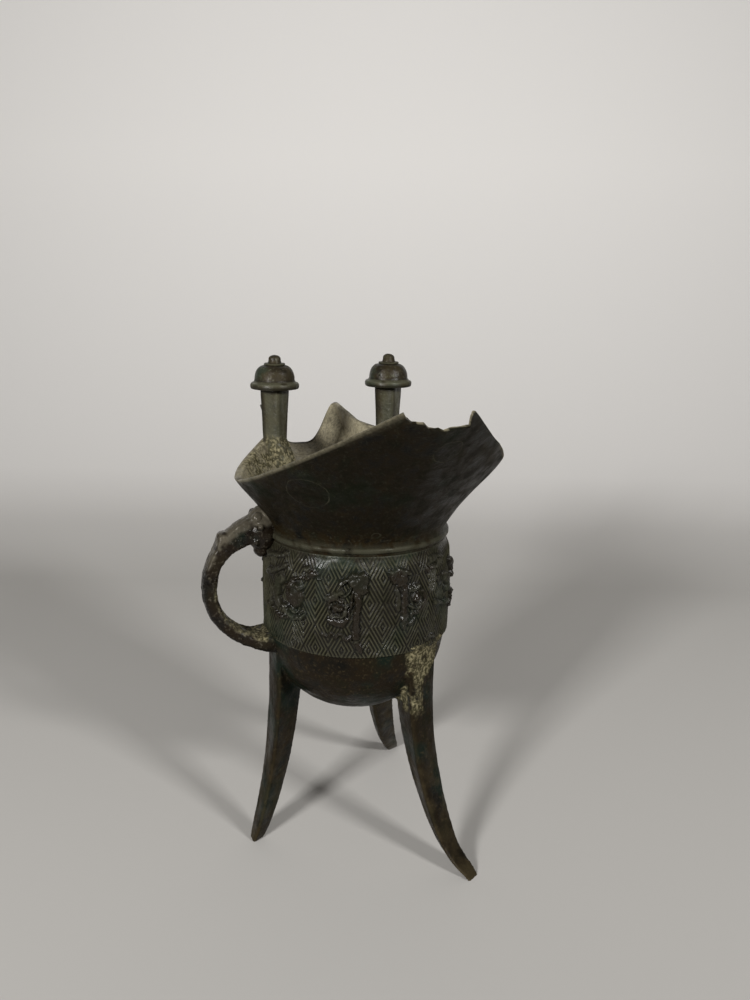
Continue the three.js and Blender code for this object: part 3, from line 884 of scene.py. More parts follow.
@dataclass
class ReliefBand:
    """The decorated band: two masks in relief over a ground of nested lozenges."""

    cells: int = 23
    cell_height: float = 15.8
    lattice_azimuth: float = 168.6
    lattice_height: float = 18.4
    half_cell: int = 21
    rings: float = 3.5
    groove: float = 0.55
    mask_axes: tuple = (173.5, 353.5)
    wander: float = 0.7
    left_half: tuple = (
        Ridge(((8.6, 23.4), (8.6, 27.2)), 3.4, 1.1),
        Ridge(((8.6, 27.6), (12, 28.1), (16, 27.0), (20.2, 25.3)), 2.1, 1.25),
        Ridge(((10, 25.2), (13.4, 25.4)), 4.0, 1.1),
        Ridge(((11.6, 24), (11.6, 17), (12, 12), (12.5, 7.6)), 2.1, 0.95),
        Ridge(((13.6, 23.6), (15.4, 19), (16.8, 14.6)), 0.8, 0.8),
        Ridge(((14.6, 24.4), (17.4, 21.8), (21, 20.6)), 0.6, 0.7, Tint.PALE),
        Boss((22.3, 17.0), 1.7, 1.6, 1.5),
        Ridge(
            ((27, 15.4), (24.6, 14.0), (21.5, 13.7), (18.7, 14.9), (17.9, 17.6)),
            1.0,
            0.85,
            Tint.PALE,
        ),
        Ridge(((27.4, 16.2), (27.2, 18.8), (24.4, 19.8), (20.4, 19.4)), 0.9, 0.7),
        Ridge(((28.4, 19.9), (24.4, 20.6), (21, 21.8)), 1.6, 0.75, Tint.PALE),
        Ridge(((26.5, 12.4), (22, 11.6), (18.6, 12.4)), 1.8, 0.5),
        Ridge(
            ((32, 7.8), (29, 6.6), (26.6, 8.5), (24, 6.5), (21.2, 8.3), (18, 6.3), (15.4, 7.3)),
            0.7,
            0.55,
        ),
        Boss((12.4, 5.8), 0.9, 0.6, 1.0, Tint.PALE),
        Ridge(((11.6, 4.6), (10.6, 2.8)), 1.6, 0.5),
        Boss((41.3, 28.4), 1.6, 1.1, 1.4, Tint.PALE),
        Boss((37.2, 26.9), 1.6, 1.0, 1.05),
        Ridge(((33.6, 25.6), (39, 25.6), (46, 24.8), (53, 23.8)), 0.9, 0.7),
        Boss((49.6, 18.8), 3.6, 3.8, 1.15),
        Ridge(((55.4, 21.6), (50.4, 22.7), (45.6, 21.9)), 1.6, 1.5),
        Ridge(
            ((56.4, 14.8), (53, 12.2), (49.6, 11.2), (45.8, 11.8), (43.4, 12.7)),
            1.3,
            1.45,
            Tint.PALE,
        ),
        Boss((43.6, 12.3), 0.9, 0.9, 1.75, Tint.PALE),
        Ridge(((53, 14.4), (49.2, 13.2), (45.4, 13.8)), 0.8, 1.0, Tint.PALE),
        Ridge(((59.6, 23), (63.2, 21.8), (63.8, 18), (62, 14.6)), 3.0, 1.2, Tint.PALE),
        Boss((69.4, 13.4), 1.8, 1.3, 1.6, Tint.PALE),
        Ridge(((57, 27.4), (66, 25.2), (76, 22.8)), 1.7, 0.9, Tint.PALE),
        Ridge(((78, 29.2), (66, 29.8), (58, 31)), 1.5, 0.8, Tint.PALE),
        Ridge(((54, 11), (62, 10.2), (74, 12.4)), 0.9, 0.8),
    )
    right_half: tuple = (
        Ridge(((7, 28.3), (12.4, 28.5), (18.8, 26.8)), 1.5, 1.2, Tint.PALE),
        Ridge(((9.2, 26.2), (14.6, 25.4)), 3.8, 1.05),
        Ridge(((11.4, 27.4), (13.4, 24.2)), 3.0, 1.05),
        Ridge(((15.6, 25.4), (15.8, 18), (15.6, 13), (15.2, 9.4)), 2.1, 0.95),
        Ridge(((11.2, 21.4), (12.6, 18.6), (11.6, 15.8)), 1.5, 0.35, Tint.PALE),
        Boss((23.6, 18.6), 1.5, 1.4, 1.5),
        Ridge(((18.6, 16.6), (21, 15.5), (24.6, 15.2), (28, 16.3)), 1.0, 0.85, Tint.PALE),
        Ridge(((29, 20.4), (30, 16.8), (26.4, 13.9), (20, 13.4)), 1.2, 0.75),
        Boss((22.6, 22.0), 2.6, 1.3, 1.1, Tint.PALE),
        Ridge(((16.8, 11.8), (20.4, 10.4), (22.6, 12)), 1.2, 0.5),
        Boss((37.8, 27.4), 1.7, 1.0, 1.5, Tint.PALE),
        Boss((33.6, 26.8), 1.3, 1.3, 0.9),
        Ridge(((36, 29.6), (42, 30), (48, 29.2)), 1.2, 0.6, Tint.PALE),
        Ridge(((50, 22.4), (53.8, 20), (53, 17.6)), 3.2, 1.35, Tint.PALE),
        # Painted shade: a dark, barely raised patch where a recessed slot lies in shade.
        Boss((45.8, 21.8), 1.3, 1.9, 0.2, Tint.DARK),
        Ridge(((39.4, 14.8), (46, 13.6), (52, 12.9), (57, 11.8)), 1.7, 1.2, Tint.PALE),
        Ridge(((33, 3), (38, 3.4), (41, 2.6)), 1.3, 0.5, Tint.PALE),
        Ridge(((60, 26.2), (64, 24.4), (65.6, 20.4)), 2.6, 1.5),
        Boss((69.4, 13.4), 1.8, 1.3, 1.4, Tint.PALE),
        Ridge(((64, 16), (67, 12.4), (63, 9.6)), 1.4, 1.1),
    )

    def build(self, finish: Material) -> Piece:
        """Models the band with its ground and masks, and dresses it.

        Args:
            finish: the bronze.

        Returns:
            The piece.
        """
        columns = 2 * self.half_cell * self.cells
        row_step = self.cell_height / (2 * self.half_cell)
        below = int((self.lattice_height - 0.3) / row_step)
        above = int((CUP.band_height + 2.4 - self.lattice_height) / row_step)
        rows = below + above
        bpy.ops.mesh.primitive_grid_add(x_subdivisions=columns, y_subdivisions=rows + 8, size=2)
        piece = bpy.context.object
        piece.name = "relief_band"
        grid = places(piece)
        column = np.round((grid[:, 0] + 1) / 2 * columns).astype(int)
        row = np.round((grid[:, 1] + 1) / 2 * (rows + 8)).astype(int) - 3
        level = np.clip(row, 0, rows) - below
        azimuth = self.lattice_azimuth + column * 360 / columns
        height = self.lattice_height + level * row_step
        rise, tints = self._relief(azimuth % 360, height, column, level)
        radius = np.array([self._ground(h) for h in height]) + rise
        z = CUP.band_bottom + height
        start, end = height.min(), height.max()
        back = CUP.bowl_radius - 1.2
        turns = {
            -3: (back, start + 3),
            -2: (back, start - 0.15),
            -1: (CUP.bowl_radius + 0.6, start - 0.4),
            rows + 1: (CUP.neck_radius - 0.1, end + 0.3),
            rows + 2: (CUP.neck_radius - 1.0, end + 0.3),
            rows + 3: (CUP.neck_radius - 1.2, end - 2),
            rows + 4: (back, start + 8),
            rows + 5: (back, start + 3),
        }
        for turn, (turn_radius, turn_height) in turns.items():
            chosen = row == turn
            radius[chosen] = turn_radius
            z[chosen] = CUP.band_bottom + turn_height
        angle = np.radians(azimuth)
        move_from_axis(piece, radius * np.cos(angle), radius * np.sin(angle), z)
        for tint, values in tints.items():
            mark(piece, tint, np.where((row >= 0) & (row <= rows), values, 0))
        close_up(piece, gap=0.004)
        self._fold_along_lines(piece, row_step)
        return dress(piece, finish, crease=180)

    def _ground(self, height: float) -> float:
        """Radius of the ground, easing into the neck over the band's top."""
        fade = smooth((height - CUP.band_height + 1.5) / 3.9)
        return float(blend(CUP.band_face(height), CUP.neck_radius, fade))

    def _from_middles(self, column: np.ndarray, row: np.ndarray) -> list[np.ndarray]:
        """Steps from the nearest lozenge's middle, in each of the two lattices that interleave.

        Args:
            column: columns, counted from a lozenge's middle.
            row: rows, counted from the same middle.

        Returns:
            The steps in the first lattice and in the second.
        """
        full = 2 * self.half_cell
        steps = []
        for shift in (0, self.half_cell):
            aside, over = (column + shift) % full, (row + shift) % full
            steps.append(np.minimum(aside, full - aside) + np.minimum(over, full - over))
        return steps

    def _relief(
        self, azimuth: np.ndarray, height: np.ndarray, column: np.ndarray, row: np.ndarray
    ) -> tuple[np.ndarray, dict[Tint, np.ndarray]]:
        """How far each vertex stands out from the ground, and how it is tinted.

        Args:
            azimuth: azimuth of each vertex in degrees.
            height: height of each vertex over the band's lower edge.
            column: its column, counted from a lozenge's middle.
            row: its row, counted from the same lozenge's middle.

        Returns:
            The rise and the marks for each tint.
        """
        steps = np.minimum(*self._from_middles(column, row))
        wave = 0.5 + 0.5 * np.cos(math.tau * self.rings * steps / self.half_cell)
        angle = np.radians(azimuth)
        points = np.column_stack([np.cos(angle), np.sin(angle), height / 32]) * 0.032
        worn = mottle(points, size=9, seed=1.7)
        lumpy = mottle(points, size=1.7, seed=6.3)
        top_fade = smooth((CUP.band_height + 2.2 - height) / 5)
        depth = self.groove * np.clip(0.9 + 0.55 * worn, 0.25, 1.15) * top_fade
        tints = {t: np.zeros(len(azimuth)) for t in (Tint.LINE, Tint.FIGURE, Tint.PALE, Tint.DARK)}
        relief = np.full(len(azimuth), -1.0)
        nearest = np.full(len(azimuth), -9.0)
        bent_azimuth = azimuth + self.wander / CUP.per_degree * mottle(points, size=3.4, seed=4.4)
        bent_height = height + self.wander * mottle(points, size=3.4, seed=9.6)
        for axis in self.mask_axes:
            offset = (bent_azimuth - axis + 180) % 360 - 180
            for side, half in ((-1, self.left_half), (1, self.right_half)):
                for form in half:
                    across = side * offset * CUP.per_degree
                    inward = form.inward(across, bent_height) + 0.22 * lumpy
                    nearest = np.maximum(nearest, inward)
                    slope = 1 - np.clip(inward / form.shoulder, 0, 1)
                    bulge = form.rise * np.sqrt(1 - slope**2)
                    relief = np.maximum(relief, np.where(inward > 0, bulge, -1))
                    tint = smooth(inward / 0.4 + 0.4)
                    tints[form.tint] = np.maximum(tints[form.tint], tint)
        covered = smooth((relief + 0.1) / 0.35)
        bare = 1 - covered
        relief = relief * np.where(relief > 0, 0.95 + 0.25 * worn + 0.3 * lumpy, 1)
        rise = np.maximum(-depth * (1 - wave) * bare, relief)
        # Painted shade: the ground darkened in a ring round the raised forms.
        shade_halo = smooth((nearest + 0.7) / 0.6) * bare
        crests = np.clip(wave * 1.5 - 0.5, 0, 1) * bare * (0.45 + 0.55 * top_fade)
        crests *= (1 - 0.7 * shade_halo) * np.clip(0.75 + 0.6 * worn, 0.15, 1)
        lower_edge = smooth((0.7 - height) / 0.5)
        tints[Tint.LINE] = np.maximum(crests, 0.9 * lower_edge)
        # Painted shade: the lozenge grooves darkened.
        groove_shade = (1 - wave) ** 1.5 * bare * top_fade
        tints[Tint.DARK] = np.maximum(0.9 * groove_shade, 0.65 * shade_halo)
        # Forms tinted pale are partly paler worn tops and partly painted highlights where bosses
        # and ridges catch the light.
        tints[Tint.PALE] *= 0.3
        tints[Tint.FIGURE] *= 0.6
        return rise + 0.1 * worn, tints

    def _fold_along_lines(self, piece: Piece, row_step: float) -> None:
        """Splits each face of the ground along the lozenge line that crosses it.

        Args:
            piece: the band.
            row_step: height of a row of faces.
        """
        half = self.half_cell
        full = 2 * half
        for rising, method in ((True, "FIXED"), (False, "FIXED_ALTERNATE")):
            with editing(piece):
                bpy.ops.mesh.select_all(action="DESELECT")
            faces = piece.data.polygons
            centres = np.empty(3 * len(faces))
            faces.foreach_get("center", centres)
            centres = centres.reshape(-1, 3) / MM - np.array([AXIS[0], AXIS[1], CUP.band_bottom])
            azimuth = np.degrees(np.arctan2(centres[:, 1], centres[:, 0])) - self.lattice_azimuth
            column = azimuth / (360 / (full * self.cells))
            row = (centres[:, 2] - self.lattice_height) / row_step
            first, second = self._from_middles(column, row)
            moved = np.where(second < first, half, 0)
            aside = (column + moved) % full < half
            over = (row + moved) % full < half
            faces.foreach_set("select", (aside == over) == rising)
            bpy.ops.object.mode_set(mode="EDIT")
            bpy.ops.mesh.quads_convert_to_tris(quad_method=method)
            bpy.ops.object.mode_set(mode="OBJECT")


@dataclass(frozen=True)
class Station:
    """One upright line of the mouth's wall: its azimuth, rim, way across and crown."""

    azimuth: float
    rim: Vector
    across: Vector
    crown: Vector


@dataclass
class FlaringMouth:
    """The neck and the mouth that flares into a spout in front and a tail, which is broken off."""

    widest_x: float = -8.0
    lowest_x: float = 4.0
    lowest_rise: float = 15.7
    tail_reach: float = 76.5
    tail_tip_rise: float = 53.2
    tail_fullness: float = 1.85
    tail_sweep: float = 1.7
    spout_half_width: float = 16.4
    spout_parallel_x: float = 50.0
    spout_floor_rise: float = 11.2
    spout_lip_rise: float = 28.9
    shoulder_rise: float = 4.5
    shoulder_length: float = 34.0
    shoulder_fullness: float = 1.35
    side_lip: float = 2.8
    spout_lip: float = 2.0
    tail_lip: float = 1.4
    collar_proud: float = 0.8
    collar_width: float = 1.8
    collar_drop: float = 1.6
    spout_root_x: float = 23.9
    break_x: float = -64.8
    break_level: float = 157.0
    break_lean: float = 1.4
    break_steps: tuple = (
        (16, -7.3), (11.2, -7.3), (10.4, -5.6), (10.0, -4.2), (8.8, -2.4), (7.6, -1.0), (4.5, -1.2),
        (2.6, 1.8), (-0.7, 1.9), (-3.0, 0.7), (-6.0, 1.5), (-9.1, 1.8), (-8.1, -5.0), (-7.9, -9.5),
        (-16, -14.0),
    )
    lip_bulge: float = 0.12
    far_bulge: float = 1.4
    far_bulge_x: float = -32.0
    far_bulge_reach: float = 26.0
    far_sag: float = 1.6

    def build(self, finish: Material) -> Piece:
        """Models the mouth's wall with its edge and its break, and dresses it.

        Args:
            finish: the bronze.

        Returns:
            The piece.
        """
        rows = self._rows(self._stations())

        def ring(turn: int, level: int) -> Place:
            """Place of one vertex of the wall.

            Args:
                turn: which vertex of its ring it is.
                level: which ring it is on.

            Returns:
                The place from the cup's axis.
            """
            return tuple(rows[level % len(rows)][turn])

        piece = tube("flaring_mouth", len(rows[0]), len(rows), ring)
        self._break_tail(piece)
        roughen(piece, depth=0.1, size=9, seed=8.3)
        self._mark_surface(piece)
        return dress(piece, finish, crease=40)

    def half_width(self, x: float) -> float:
        """Half of the mouth's width.

        Args:
            x: how far forward from the cup's axis.

        Returns:
            The half width there.
        """
        if x < self.widest_x:
            share = (self.widest_x - x) / (self.tail_reach + self.widest_x)
            return CUP.mouth_half_width * (1 - share**self.tail_fullness)
        share = min(1.0, (x - self.widest_x) / (self.spout_parallel_x - self.widest_x))
        opening = 0.5 * (1 + math.cos(math.pi * share**self.shoulder_fullness))
        return float(blend(self.spout_half_width, CUP.mouth_half_width, opening))

    def rim_height(self, x: float) -> float:
        """Height of the mouth's edge.

        Args:
            x: how far forward from the cup's axis.

        Returns:
            The height there.
        """
        lowest = CUP.neck_top + self.lowest_rise
        if x < self.lowest_x:
            share = (self.lowest_x - x) / (self.tail_reach + self.lowest_x)
            return lowest + (self.tail_tip_rise - self.lowest_rise) * share**self.tail_sweep
        along = (x - self.lowest_x) / (CUP.spout_reach - self.lowest_x)
        shoulder = smooth(((x - self.lowest_x) / self.shoulder_length) ** 1.5)
        slope = self.spout_lip_rise - self.lowest_rise - self.shoulder_rise
        return float(lowest + slope * along + self.shoulder_rise * shoulder)

    def _spout_end(self, share: float) -> Station:
        """Station on the spout's open end.

        Args:
            share: how far it is from the spout's floor at 0 to its lip at 1.

        Returns:
            The station.
        """
        rise = smooth(share**1.9)
        z = CUP.neck_top + blend(self.spout_floor_rise, self.spout_lip_rise, rise)
        lean = math.radians(90) * share**1.2
        rim = Vector((CUP.spout_reach, self.spout_half_width * share, z))
        across = Vector((0, -math.sin(lean), math.cos(lean))) * self.spout_lip
        return Station(30 * share, rim, across, Vector((1, 0, 0)))

    def _edge(self, azimuth: float, x: float, lip: float, crown: Vector) -> Station:
        """Station on the mouth's edge.

        Args:
            azimuth: where it stands on the neck, in degrees.
            x: how far forward its rim is.
            lip: how thick the wall is there.
            crown: which way the edge is rounded.

        Returns:
            The station.
        """
        step = 0.5
        slope = (self.half_width(x + step) - self.half_width(x - step)) / (2 * step)
        rim = Vector((x, self.half_width(x), self.rim_height(x)))
        return Station(azimuth, rim, Vector((slope, -1, 0)).normalized() * lip, crown)

    def _stations(self) -> list[Station]:
        """Stations round the whole mouth, from the spout's floor past the tail and back.

        Returns:
            The stations in order.
        """
        end_steps = 16
        side_end = self.widest_x - 2
        side, tail = self.side_lip, -self.tail_reach
        half = [self._spout_end(i / end_steps) for i in range(end_steps)]
        for steps, azimuths, reach, lips in (
            (24, (30, 52), (CUP.spout_reach, self.spout_root_x), (self.spout_lip, side)),
            (28, (52, 105), (self.spout_root_x, side_end), (side, side)),
            (36, (105, 180), (side_end, tail), (side, self.tail_lip)),
        ):
            for i in range(steps):
                azimuth, x, lip = (blend(*ends, i / steps) for ends in (azimuths, reach, lips))
                crown = Vector((0.7, 0, 0.7)) if len(half) == end_steps else UP
                half.append(self._edge(azimuth, x, lip, crown))
        tip = Vector((tail, 0, self.rim_height(tail)))
        half.append(Station(180, tip, Vector((1.4 * self.tail_lip, 0, 0)), UP))
        return half + [self._far(station) for station in half[-2:0:-1]]

    def _far(self, station: Station) -> Station:
        """The same station on the far side, where the tail's half is bent out and down a little.

        Args:
            station: the station on the handle's side.

        Returns:
            The station on the far side.
        """
        reach = min(1.0, abs(station.rim.x - self.far_bulge_x) / self.far_bulge_reach)
        bend = math.cos(math.pi / 2 * reach) ** 2
        sag = self.far_sag * float(smooth((-station.rim.x - 38) / 24))
        rim = Vector((station.rim.x, -station.rim.y - self.far_bulge * bend, station.rim.z - sag))
        across = Vector((station.across.x, -station.across.y, station.across.z))
        return Station(360 - station.azimuth, rim, across, station.crown)

    def _rows(self, stations: list[Station]) -> list[list[Vector]]:
        """Rings of the wall: up its outside, over its edge, down its inside to the band.

        Args:
            stations: the stations round the mouth.

        Returns:
            The rings, each with a place for each station.
        """
        collar_top = CUP.neck_top - self.collar_drop
        neck = CUP.neck_radius
        proud = neck + self.collar_proud
        outside = [
            (CUP.bowl_radius + 0.3, CUP.seat),
            (CUP.bowl_radius + 0.3, CUP.band_top - 4),
            (neck - 0.3, CUP.band_top + 1),
            (neck - 0.1, collar_top - self.collar_width - 0.5),
            (neck, collar_top - self.collar_width),
            (proud - 0.3, collar_top - 0.92 * self.collar_width),
            (proud, collar_top - 0.7 * self.collar_width),
            (proud, collar_top - 0.25 * self.collar_width),
            (proud - 0.35, collar_top),
            (neck + 0.1, collar_top + 0.25),
        ]
        inside = [
            (neck - CUP.wall, CUP.neck_top - 2.5),
            (CUP.band_top_radius - CUP.wall, CUP.band_top - 3),
            (CUP.inner_radius + 1.0, CUP.band_bottom + 18),
            (CUP.inner_radius + 0.9, CUP.seat),
        ]
        rows = [self._level(stations, radius, z) for radius, z in outside]
        rows += [self._flare(stations, i / 26, 0) for i in range(27)]
        for angle in (math.radians(turn) for turn in (30, 60, 90, 120, 150)):
            over = 0.5 - 0.5 * math.cos(angle)
            high = CUP.lip_crown * math.sin(angle)
            rows.append([s.rim + s.across * over + s.crown * high for s in stations])
        rows += [self._flare(stations, 1 - i / 20, 1) for i in range(21)]
        rows += [self._level(stations, radius, z) for radius, z in inside]
        return rows

    def _level(self, stations: list[Station], radius: float, z: float) -> list[Vector]:
        """Round ring at one height."""
        angles = [math.radians(station.azimuth) for station in stations]
        return [Vector((radius * math.cos(a), radius * math.sin(a), z)) for a in angles]

    def _flare(self, stations: list[Station], share: float, inset: float) -> list[Vector]:
        """Ring of the flare.

        Args:
            stations: the stations round the mouth.
            share: how far it is from the neck at 0 to the edge at 1.
            inset: 0 on the wall's outside, 1 on its inside.

        Returns:
            A place for each station.
        """
        ring = []
        feet = self._level(stations, CUP.neck_radius - inset * CUP.wall, CUP.neck_top)
        for station, foot in zip(stations, feet):
            angle = math.radians(station.azimuth)
            curve = 1.15 if math.cos(angle) > 0 else 1.05
            outward = share ** float(blend(curve, 1.25, math.sin(angle) ** 2))
            off_tail = float(1 - smooth((-station.rim.x - 42) / 20))
            outward += off_tail * self.lip_bulge * math.sin(math.pi * share) * share**3
            edge = station.rim + station.across * inset
            place = foot.lerp(edge, outward)
            place.z = blend(foot.z, edge.z, share)
            ring.append(place)
        return ring

    def _break_tail(self, piece: Piece) -> None:
        """Cuts the tail off along its jagged break.

        Args:
            piece: the mouth.
        """
        beyond = 2 * self.tail_reach
        parts = 6
        outline = []
        for (y0, w0), (y1, w1) in zip(self.break_steps, self.break_steps[1:]):
            for share in (part / parts for part in range(parts)):
                y = blend(y0, y1, share)
                ragged = 0.2 * noise.noise(Vector((y * 0.9, 3.7, 0)))
                outline.append((self.break_x + blend(w0, w1, share) + ragged, y))
        first, last = self.break_steps[0][0], self.break_steps[-1][0]
        outline += [(-beyond, last), (-beyond, first)]

        def ring(turn: int, level: int) -> Place:
            """Place of one vertex of the cutter.

            Args:
                turn: which vertex of its ring it is.
                level: which ring it is on.

            Returns:
                The place from the cup's axis.
            """
            x, y = outline[turn]
            z = CUP.neck_top + 10 + level
            if x < -beyond / 2:
                return (x, y, z)
            ragged = 0.3 * noise.noise(Vector((y * 1.4, z * 1.4, 1.3)))
            return (x + ragged + self.break_lean * (z - self.break_level), y, z)

        cutter = tube("break_cutter", len(outline), 60, ring)
        finish_with(piece, "BOOLEAN", operation="DIFFERENCE", object=cutter, solver="EXACT")
        bpy.data.objects.remove(cutter)

    def _mark_surface(self, piece: Piece) -> None:
        """Marks the grey-green collar and its painted shade, the painted light inside and on the
        edge, the dark flare and the crust by a post.

        Args:
            piece: the mouth.
        """
        x, y, z = from_axis(piece)
        radius = np.hypot(x, y)
        patchy = mottle(places(piece), size=5, seed=2.4)
        facing = normals(piece)
        outward = (facing[:, 0] * x + facing[:, 1] * y) / np.maximum(radius, 1)
        rise = z - CUP.neck_top
        over = rise + self.collar_drop + self.collar_width / 2
        collar = smooth((1.9 - np.abs(over)) / 1.4) * (radius > CUP.neck_radius - 0.6)
        flare = smooth((rise - 1) / 4) * smooth((outward - 0.05) / 0.2)
        # Painted shade: dark bands in the creases just below and just above the collar.
        crease_shade = smooth((1.0 - np.abs(over + 2.1)) / 0.7)
        crease_shade += 0.8 * smooth((0.8 - np.abs(over - 1.7)) / 0.6)
        crease_shade *= (radius > CUP.neck_radius - 0.8) * smooth(0.7 + 2 * patchy)
        mark(piece, Tint.DARK, np.maximum(0.6 * flare * smooth(1.1 + patchy), crease_shade))
        # Painted light: the inside is lighter where the lamps reach it, most on the spout's upper
        # part.
        inner = smooth((0.1 - outward) / 0.2) * smooth(rise / 8)
        inner *= np.where(x > 40, 0.66 + 0.34 * smooth((z - 127) / 8), 0.78)
        # Painted highlight along the mouth's edge, stronger towards the front.
        edge = np.array([self.rim_height(value) for value in x]) - z
        lip = smooth((0.9 - edge) / 0.8) * (x < CUP.spout_reach - 3)
        lip *= 0.35 + 0.3 * smooth((x + 40) / 50)
        mark(piece, Tint.INNER, np.maximum(inner, lip) * smooth(1.2 + patchy))
        # The collar is pale grey-green, with a painted highlight along its ridge.
        mark(piece, Tint.PALE, 0.8 * collar * smooth(0.9 + 2.2 * patchy))
        by_post = smooth((19 - np.hypot(x - 20, y - 22)) / 7) * (outward < 0.1) * smooth(rise / 6)
        mark(piece, Tint.CRUST, by_post * smooth(0.8 + patchy))


@dataclass
class StrapHandle:
    """The strap handle at the cup's side and the animal's head that it comes out of."""

    arc_radius: float = 19.7
    arc_out: float = 31.0
    arc_rise: float = 17.5
    strap_width: float = 8.0
    strap_thickness: float = 4.5
    root_width: float = 14.0
    neck_thickness: float = 8.8
    root_thickness: float = 7.4
    spur: float = 1.7
    head_length: float = 8.0
    head_width: float = 10.5
    head_height: float = 15.5
    ear_length: float = 4.6
    eye_radius: float = 1.3
    flare_height: float = 15.7
    flare_inset: float = 2.2
    flare_curve: float = 1.25
    lumps: tuple = (
        (0.27, 0.72, 0.28, 1.9), (0.34, 0.3, -0.1, 2.1), (0.24, 0.8, -0.22, 2.0),
        (0.26, 0.18, 0.32, 2.2),
    )
    strap_section: tuple = (
        (1, -0.45), (0.9, -0.85), (0.7, -1), (0, -1.02), (-0.7, -1), (-0.9, -0.85), (-1, -0.45),
        (-1, 0.45), (-0.87, 0.85), (-0.6, 1), (0, 1.05), (0.6, 1), (0.87, 0.85), (1, 0.45),
    )
    grain: float = 0.32

    def build(self, finish: Material) -> Piece:
        """Models the handle and its head, cast together, and dresses it.

        Args:
            finish: the bronze.

        Returns:
            The piece.
        """
        piece = fuse([self._strap(), *self._head()], "strap_handle", self.grain, rounds=3)
        roughen(piece, depth=0.22, size=2.6, seed=6.6)
        self._keep_in_wall(piece)
        self._mark_surface(piece)
        return dress(piece, finish, crease=50)

    def _keep_in_wall(self, piece: Piece) -> None:
        """Presses what reaches through the cup's wall back to the wall's middle.

        Args:
            piece: the handle with its head.
        """
        x, y, z = from_axis(piece)
        rise = np.clip((z - CUP.neck_top) / self.flare_height, 0, 1)
        middle = np.where(z < CUP.band_top - 2, CUP.bowl_radius, CUP.neck_radius - CUP.wall / 2)
        middle = blend(middle, CUP.mouth_half_width - self.flare_inset, rise**self.flare_curve)
        grow = np.maximum(middle / np.maximum(np.hypot(x, y), 1), 1)
        move_from_axis(piece, x * grow, y * grow, z)

    @property
    def centre_z(self) -> float:
        """Height of the strap's arc centre."""
        return CUP.band_bottom + self.arc_rise

    def _strap(self) -> Piece:
        """The strap, its section turned along an arc from the head to the band's lower edge.

        Returns:
            The strap.
        """
        steps = 60

        def ring(turn: int, level: int) -> Place:
            """Place of one vertex of the strap.

            Args:
                turn: which vertex of its ring it is.
                level: which ring it is on.

            Returns:
                The place from the cup's axis.
            """
            degrees = blend(96, -99, level / steps)
            angle = math.radians(degrees)
            near_head = smooth((degrees - 28) / 50)
            near_root = smooth((-degrees - 48) / 45)
            spur = self.spur * math.exp(-(((degrees - 47) / 5) ** 2))
            thick = blend(self.strap_thickness, self.neck_thickness, near_head) / 2
            thick = blend(thick, self.root_thickness / 2, smooth((-degrees - 70) / 26))
            half = blend(self.strap_width, self.root_width, near_root) / 2
            aside, proud = self.strap_section[turn]
            radius = self.arc_radius + proud * (thick + spur if proud > 0 else thick)
            y = self.arc_out + radius * math.cos(angle)
            return (aside * half, y, self.centre_z + radius * math.sin(angle))

        return tube("strap", len(self.strap_section), steps, ring)

    def _head(self) -> list[Piece]:
        """The head's round skull and snout, its ears, eyes, lumps and jaw.

        Returns:
            The head's balls and cones.
        """
        skull_middle = self._spot(0, 0.42, 0)
        skull = self._ball(0.5, skull_middle, around=24)
        with editing(skull):
            bpy.ops.transform.resize(
                value=(self.head_width, 1.5 * self.head_length, self.head_height),
                center_override=CUP.at(*skull_middle),
            )
        parts = [skull]
        for side in (-1, 1):
            bpy.ops.mesh.primitive_cone_add(
                vertices=16,
                radius1=0.42 * self.ear_length * MM,
                radius2=0.12 * self.ear_length * MM,
                depth=1.3 * self.ear_length * MM,
                location=CUP.at(*self._spot(side * 0.34, 0.36, 0.46)),
                rotation=(math.radians(-24), math.radians(side * 16), 0),
            )
            bpy.ops.object.transform_apply(location=True, rotation=True, scale=True)
            parts.append(bpy.context.object)
            for out, ahead, rise, radius in ((0.43, 0.62, 0.1, self.eye_radius), *self.lumps):
                parts.append(self._ball(radius, self._spot(side * out, ahead, rise), around=16))
        parts.append(self._ball(0.26 * self.head_width, self._spot(0, 0.5, -0.44), around=20))
        return parts

    def _spot(self, out: float, ahead: float, rise: float) -> Place:
        """Place on the head, given in shares of its width, length and height.

        Args:
            out: how far aside from its middle.
            ahead: how far away from the cup.
            rise: how far up from its middle.

        Returns:
            The place from the cup's axis.
        """
        y = self.arc_out - 1.8 + ahead * self.head_length
        z = self.centre_z + self.arc_radius - 0.8 + rise * self.head_height
        return (out * self.head_width, y, z)

    def _ball(self, radius: float, centre: Place, around: int) -> Piece:
        """Small ball.

        Args:
            radius: its radius.
            centre: its middle, from the cup's axis.
            around: its vertices around.

        Returns:
            The ball.
        """
        bpy.ops.mesh.primitive_uv_sphere_add(
            segments=around, ring_count=around // 2, radius=radius * MM, location=CUP.at(*centre)
        )
        bpy.ops.object.transform_apply(location=True, rotation=True, scale=True)
        return bpy.context.object

    def _mark_surface(self, piece: Piece) -> None:
        """Marks the ochre on the strap's inner face, and paints a highlight on the upper part of
        its outer face and shade on the lower part.

        Args:
            piece: the handle with its head.
        """
        _, y, z = from_axis(piece)
        patchy = mottle(places(piece), size=4, seed=4.1)
        rise = z - self.centre_z
        beyond = np.hypot(y - self.arc_out, rise) - self.arc_radius
        inner = smooth((-0.6 - beyond) / 1.2) * smooth((4 - rise) / 8)
        mark(piece, Tint.CRUST, 0.8 * inner * smooth(0.8 + patchy))
        outer = smooth((beyond - 0.5) / 1.5)
        # Painted highlight on the upper part of the outer face.
        mark(piece, Tint.PALE, 0.7 * outer * smooth((rise - 4) / 8) * smooth(0.9 + 1.5 * patchy))
        # Painted shade on the lower part of the outer face.
        mark(piece, Tint.DARK, 0.8 * outer * smooth((9 - rise) / 6))


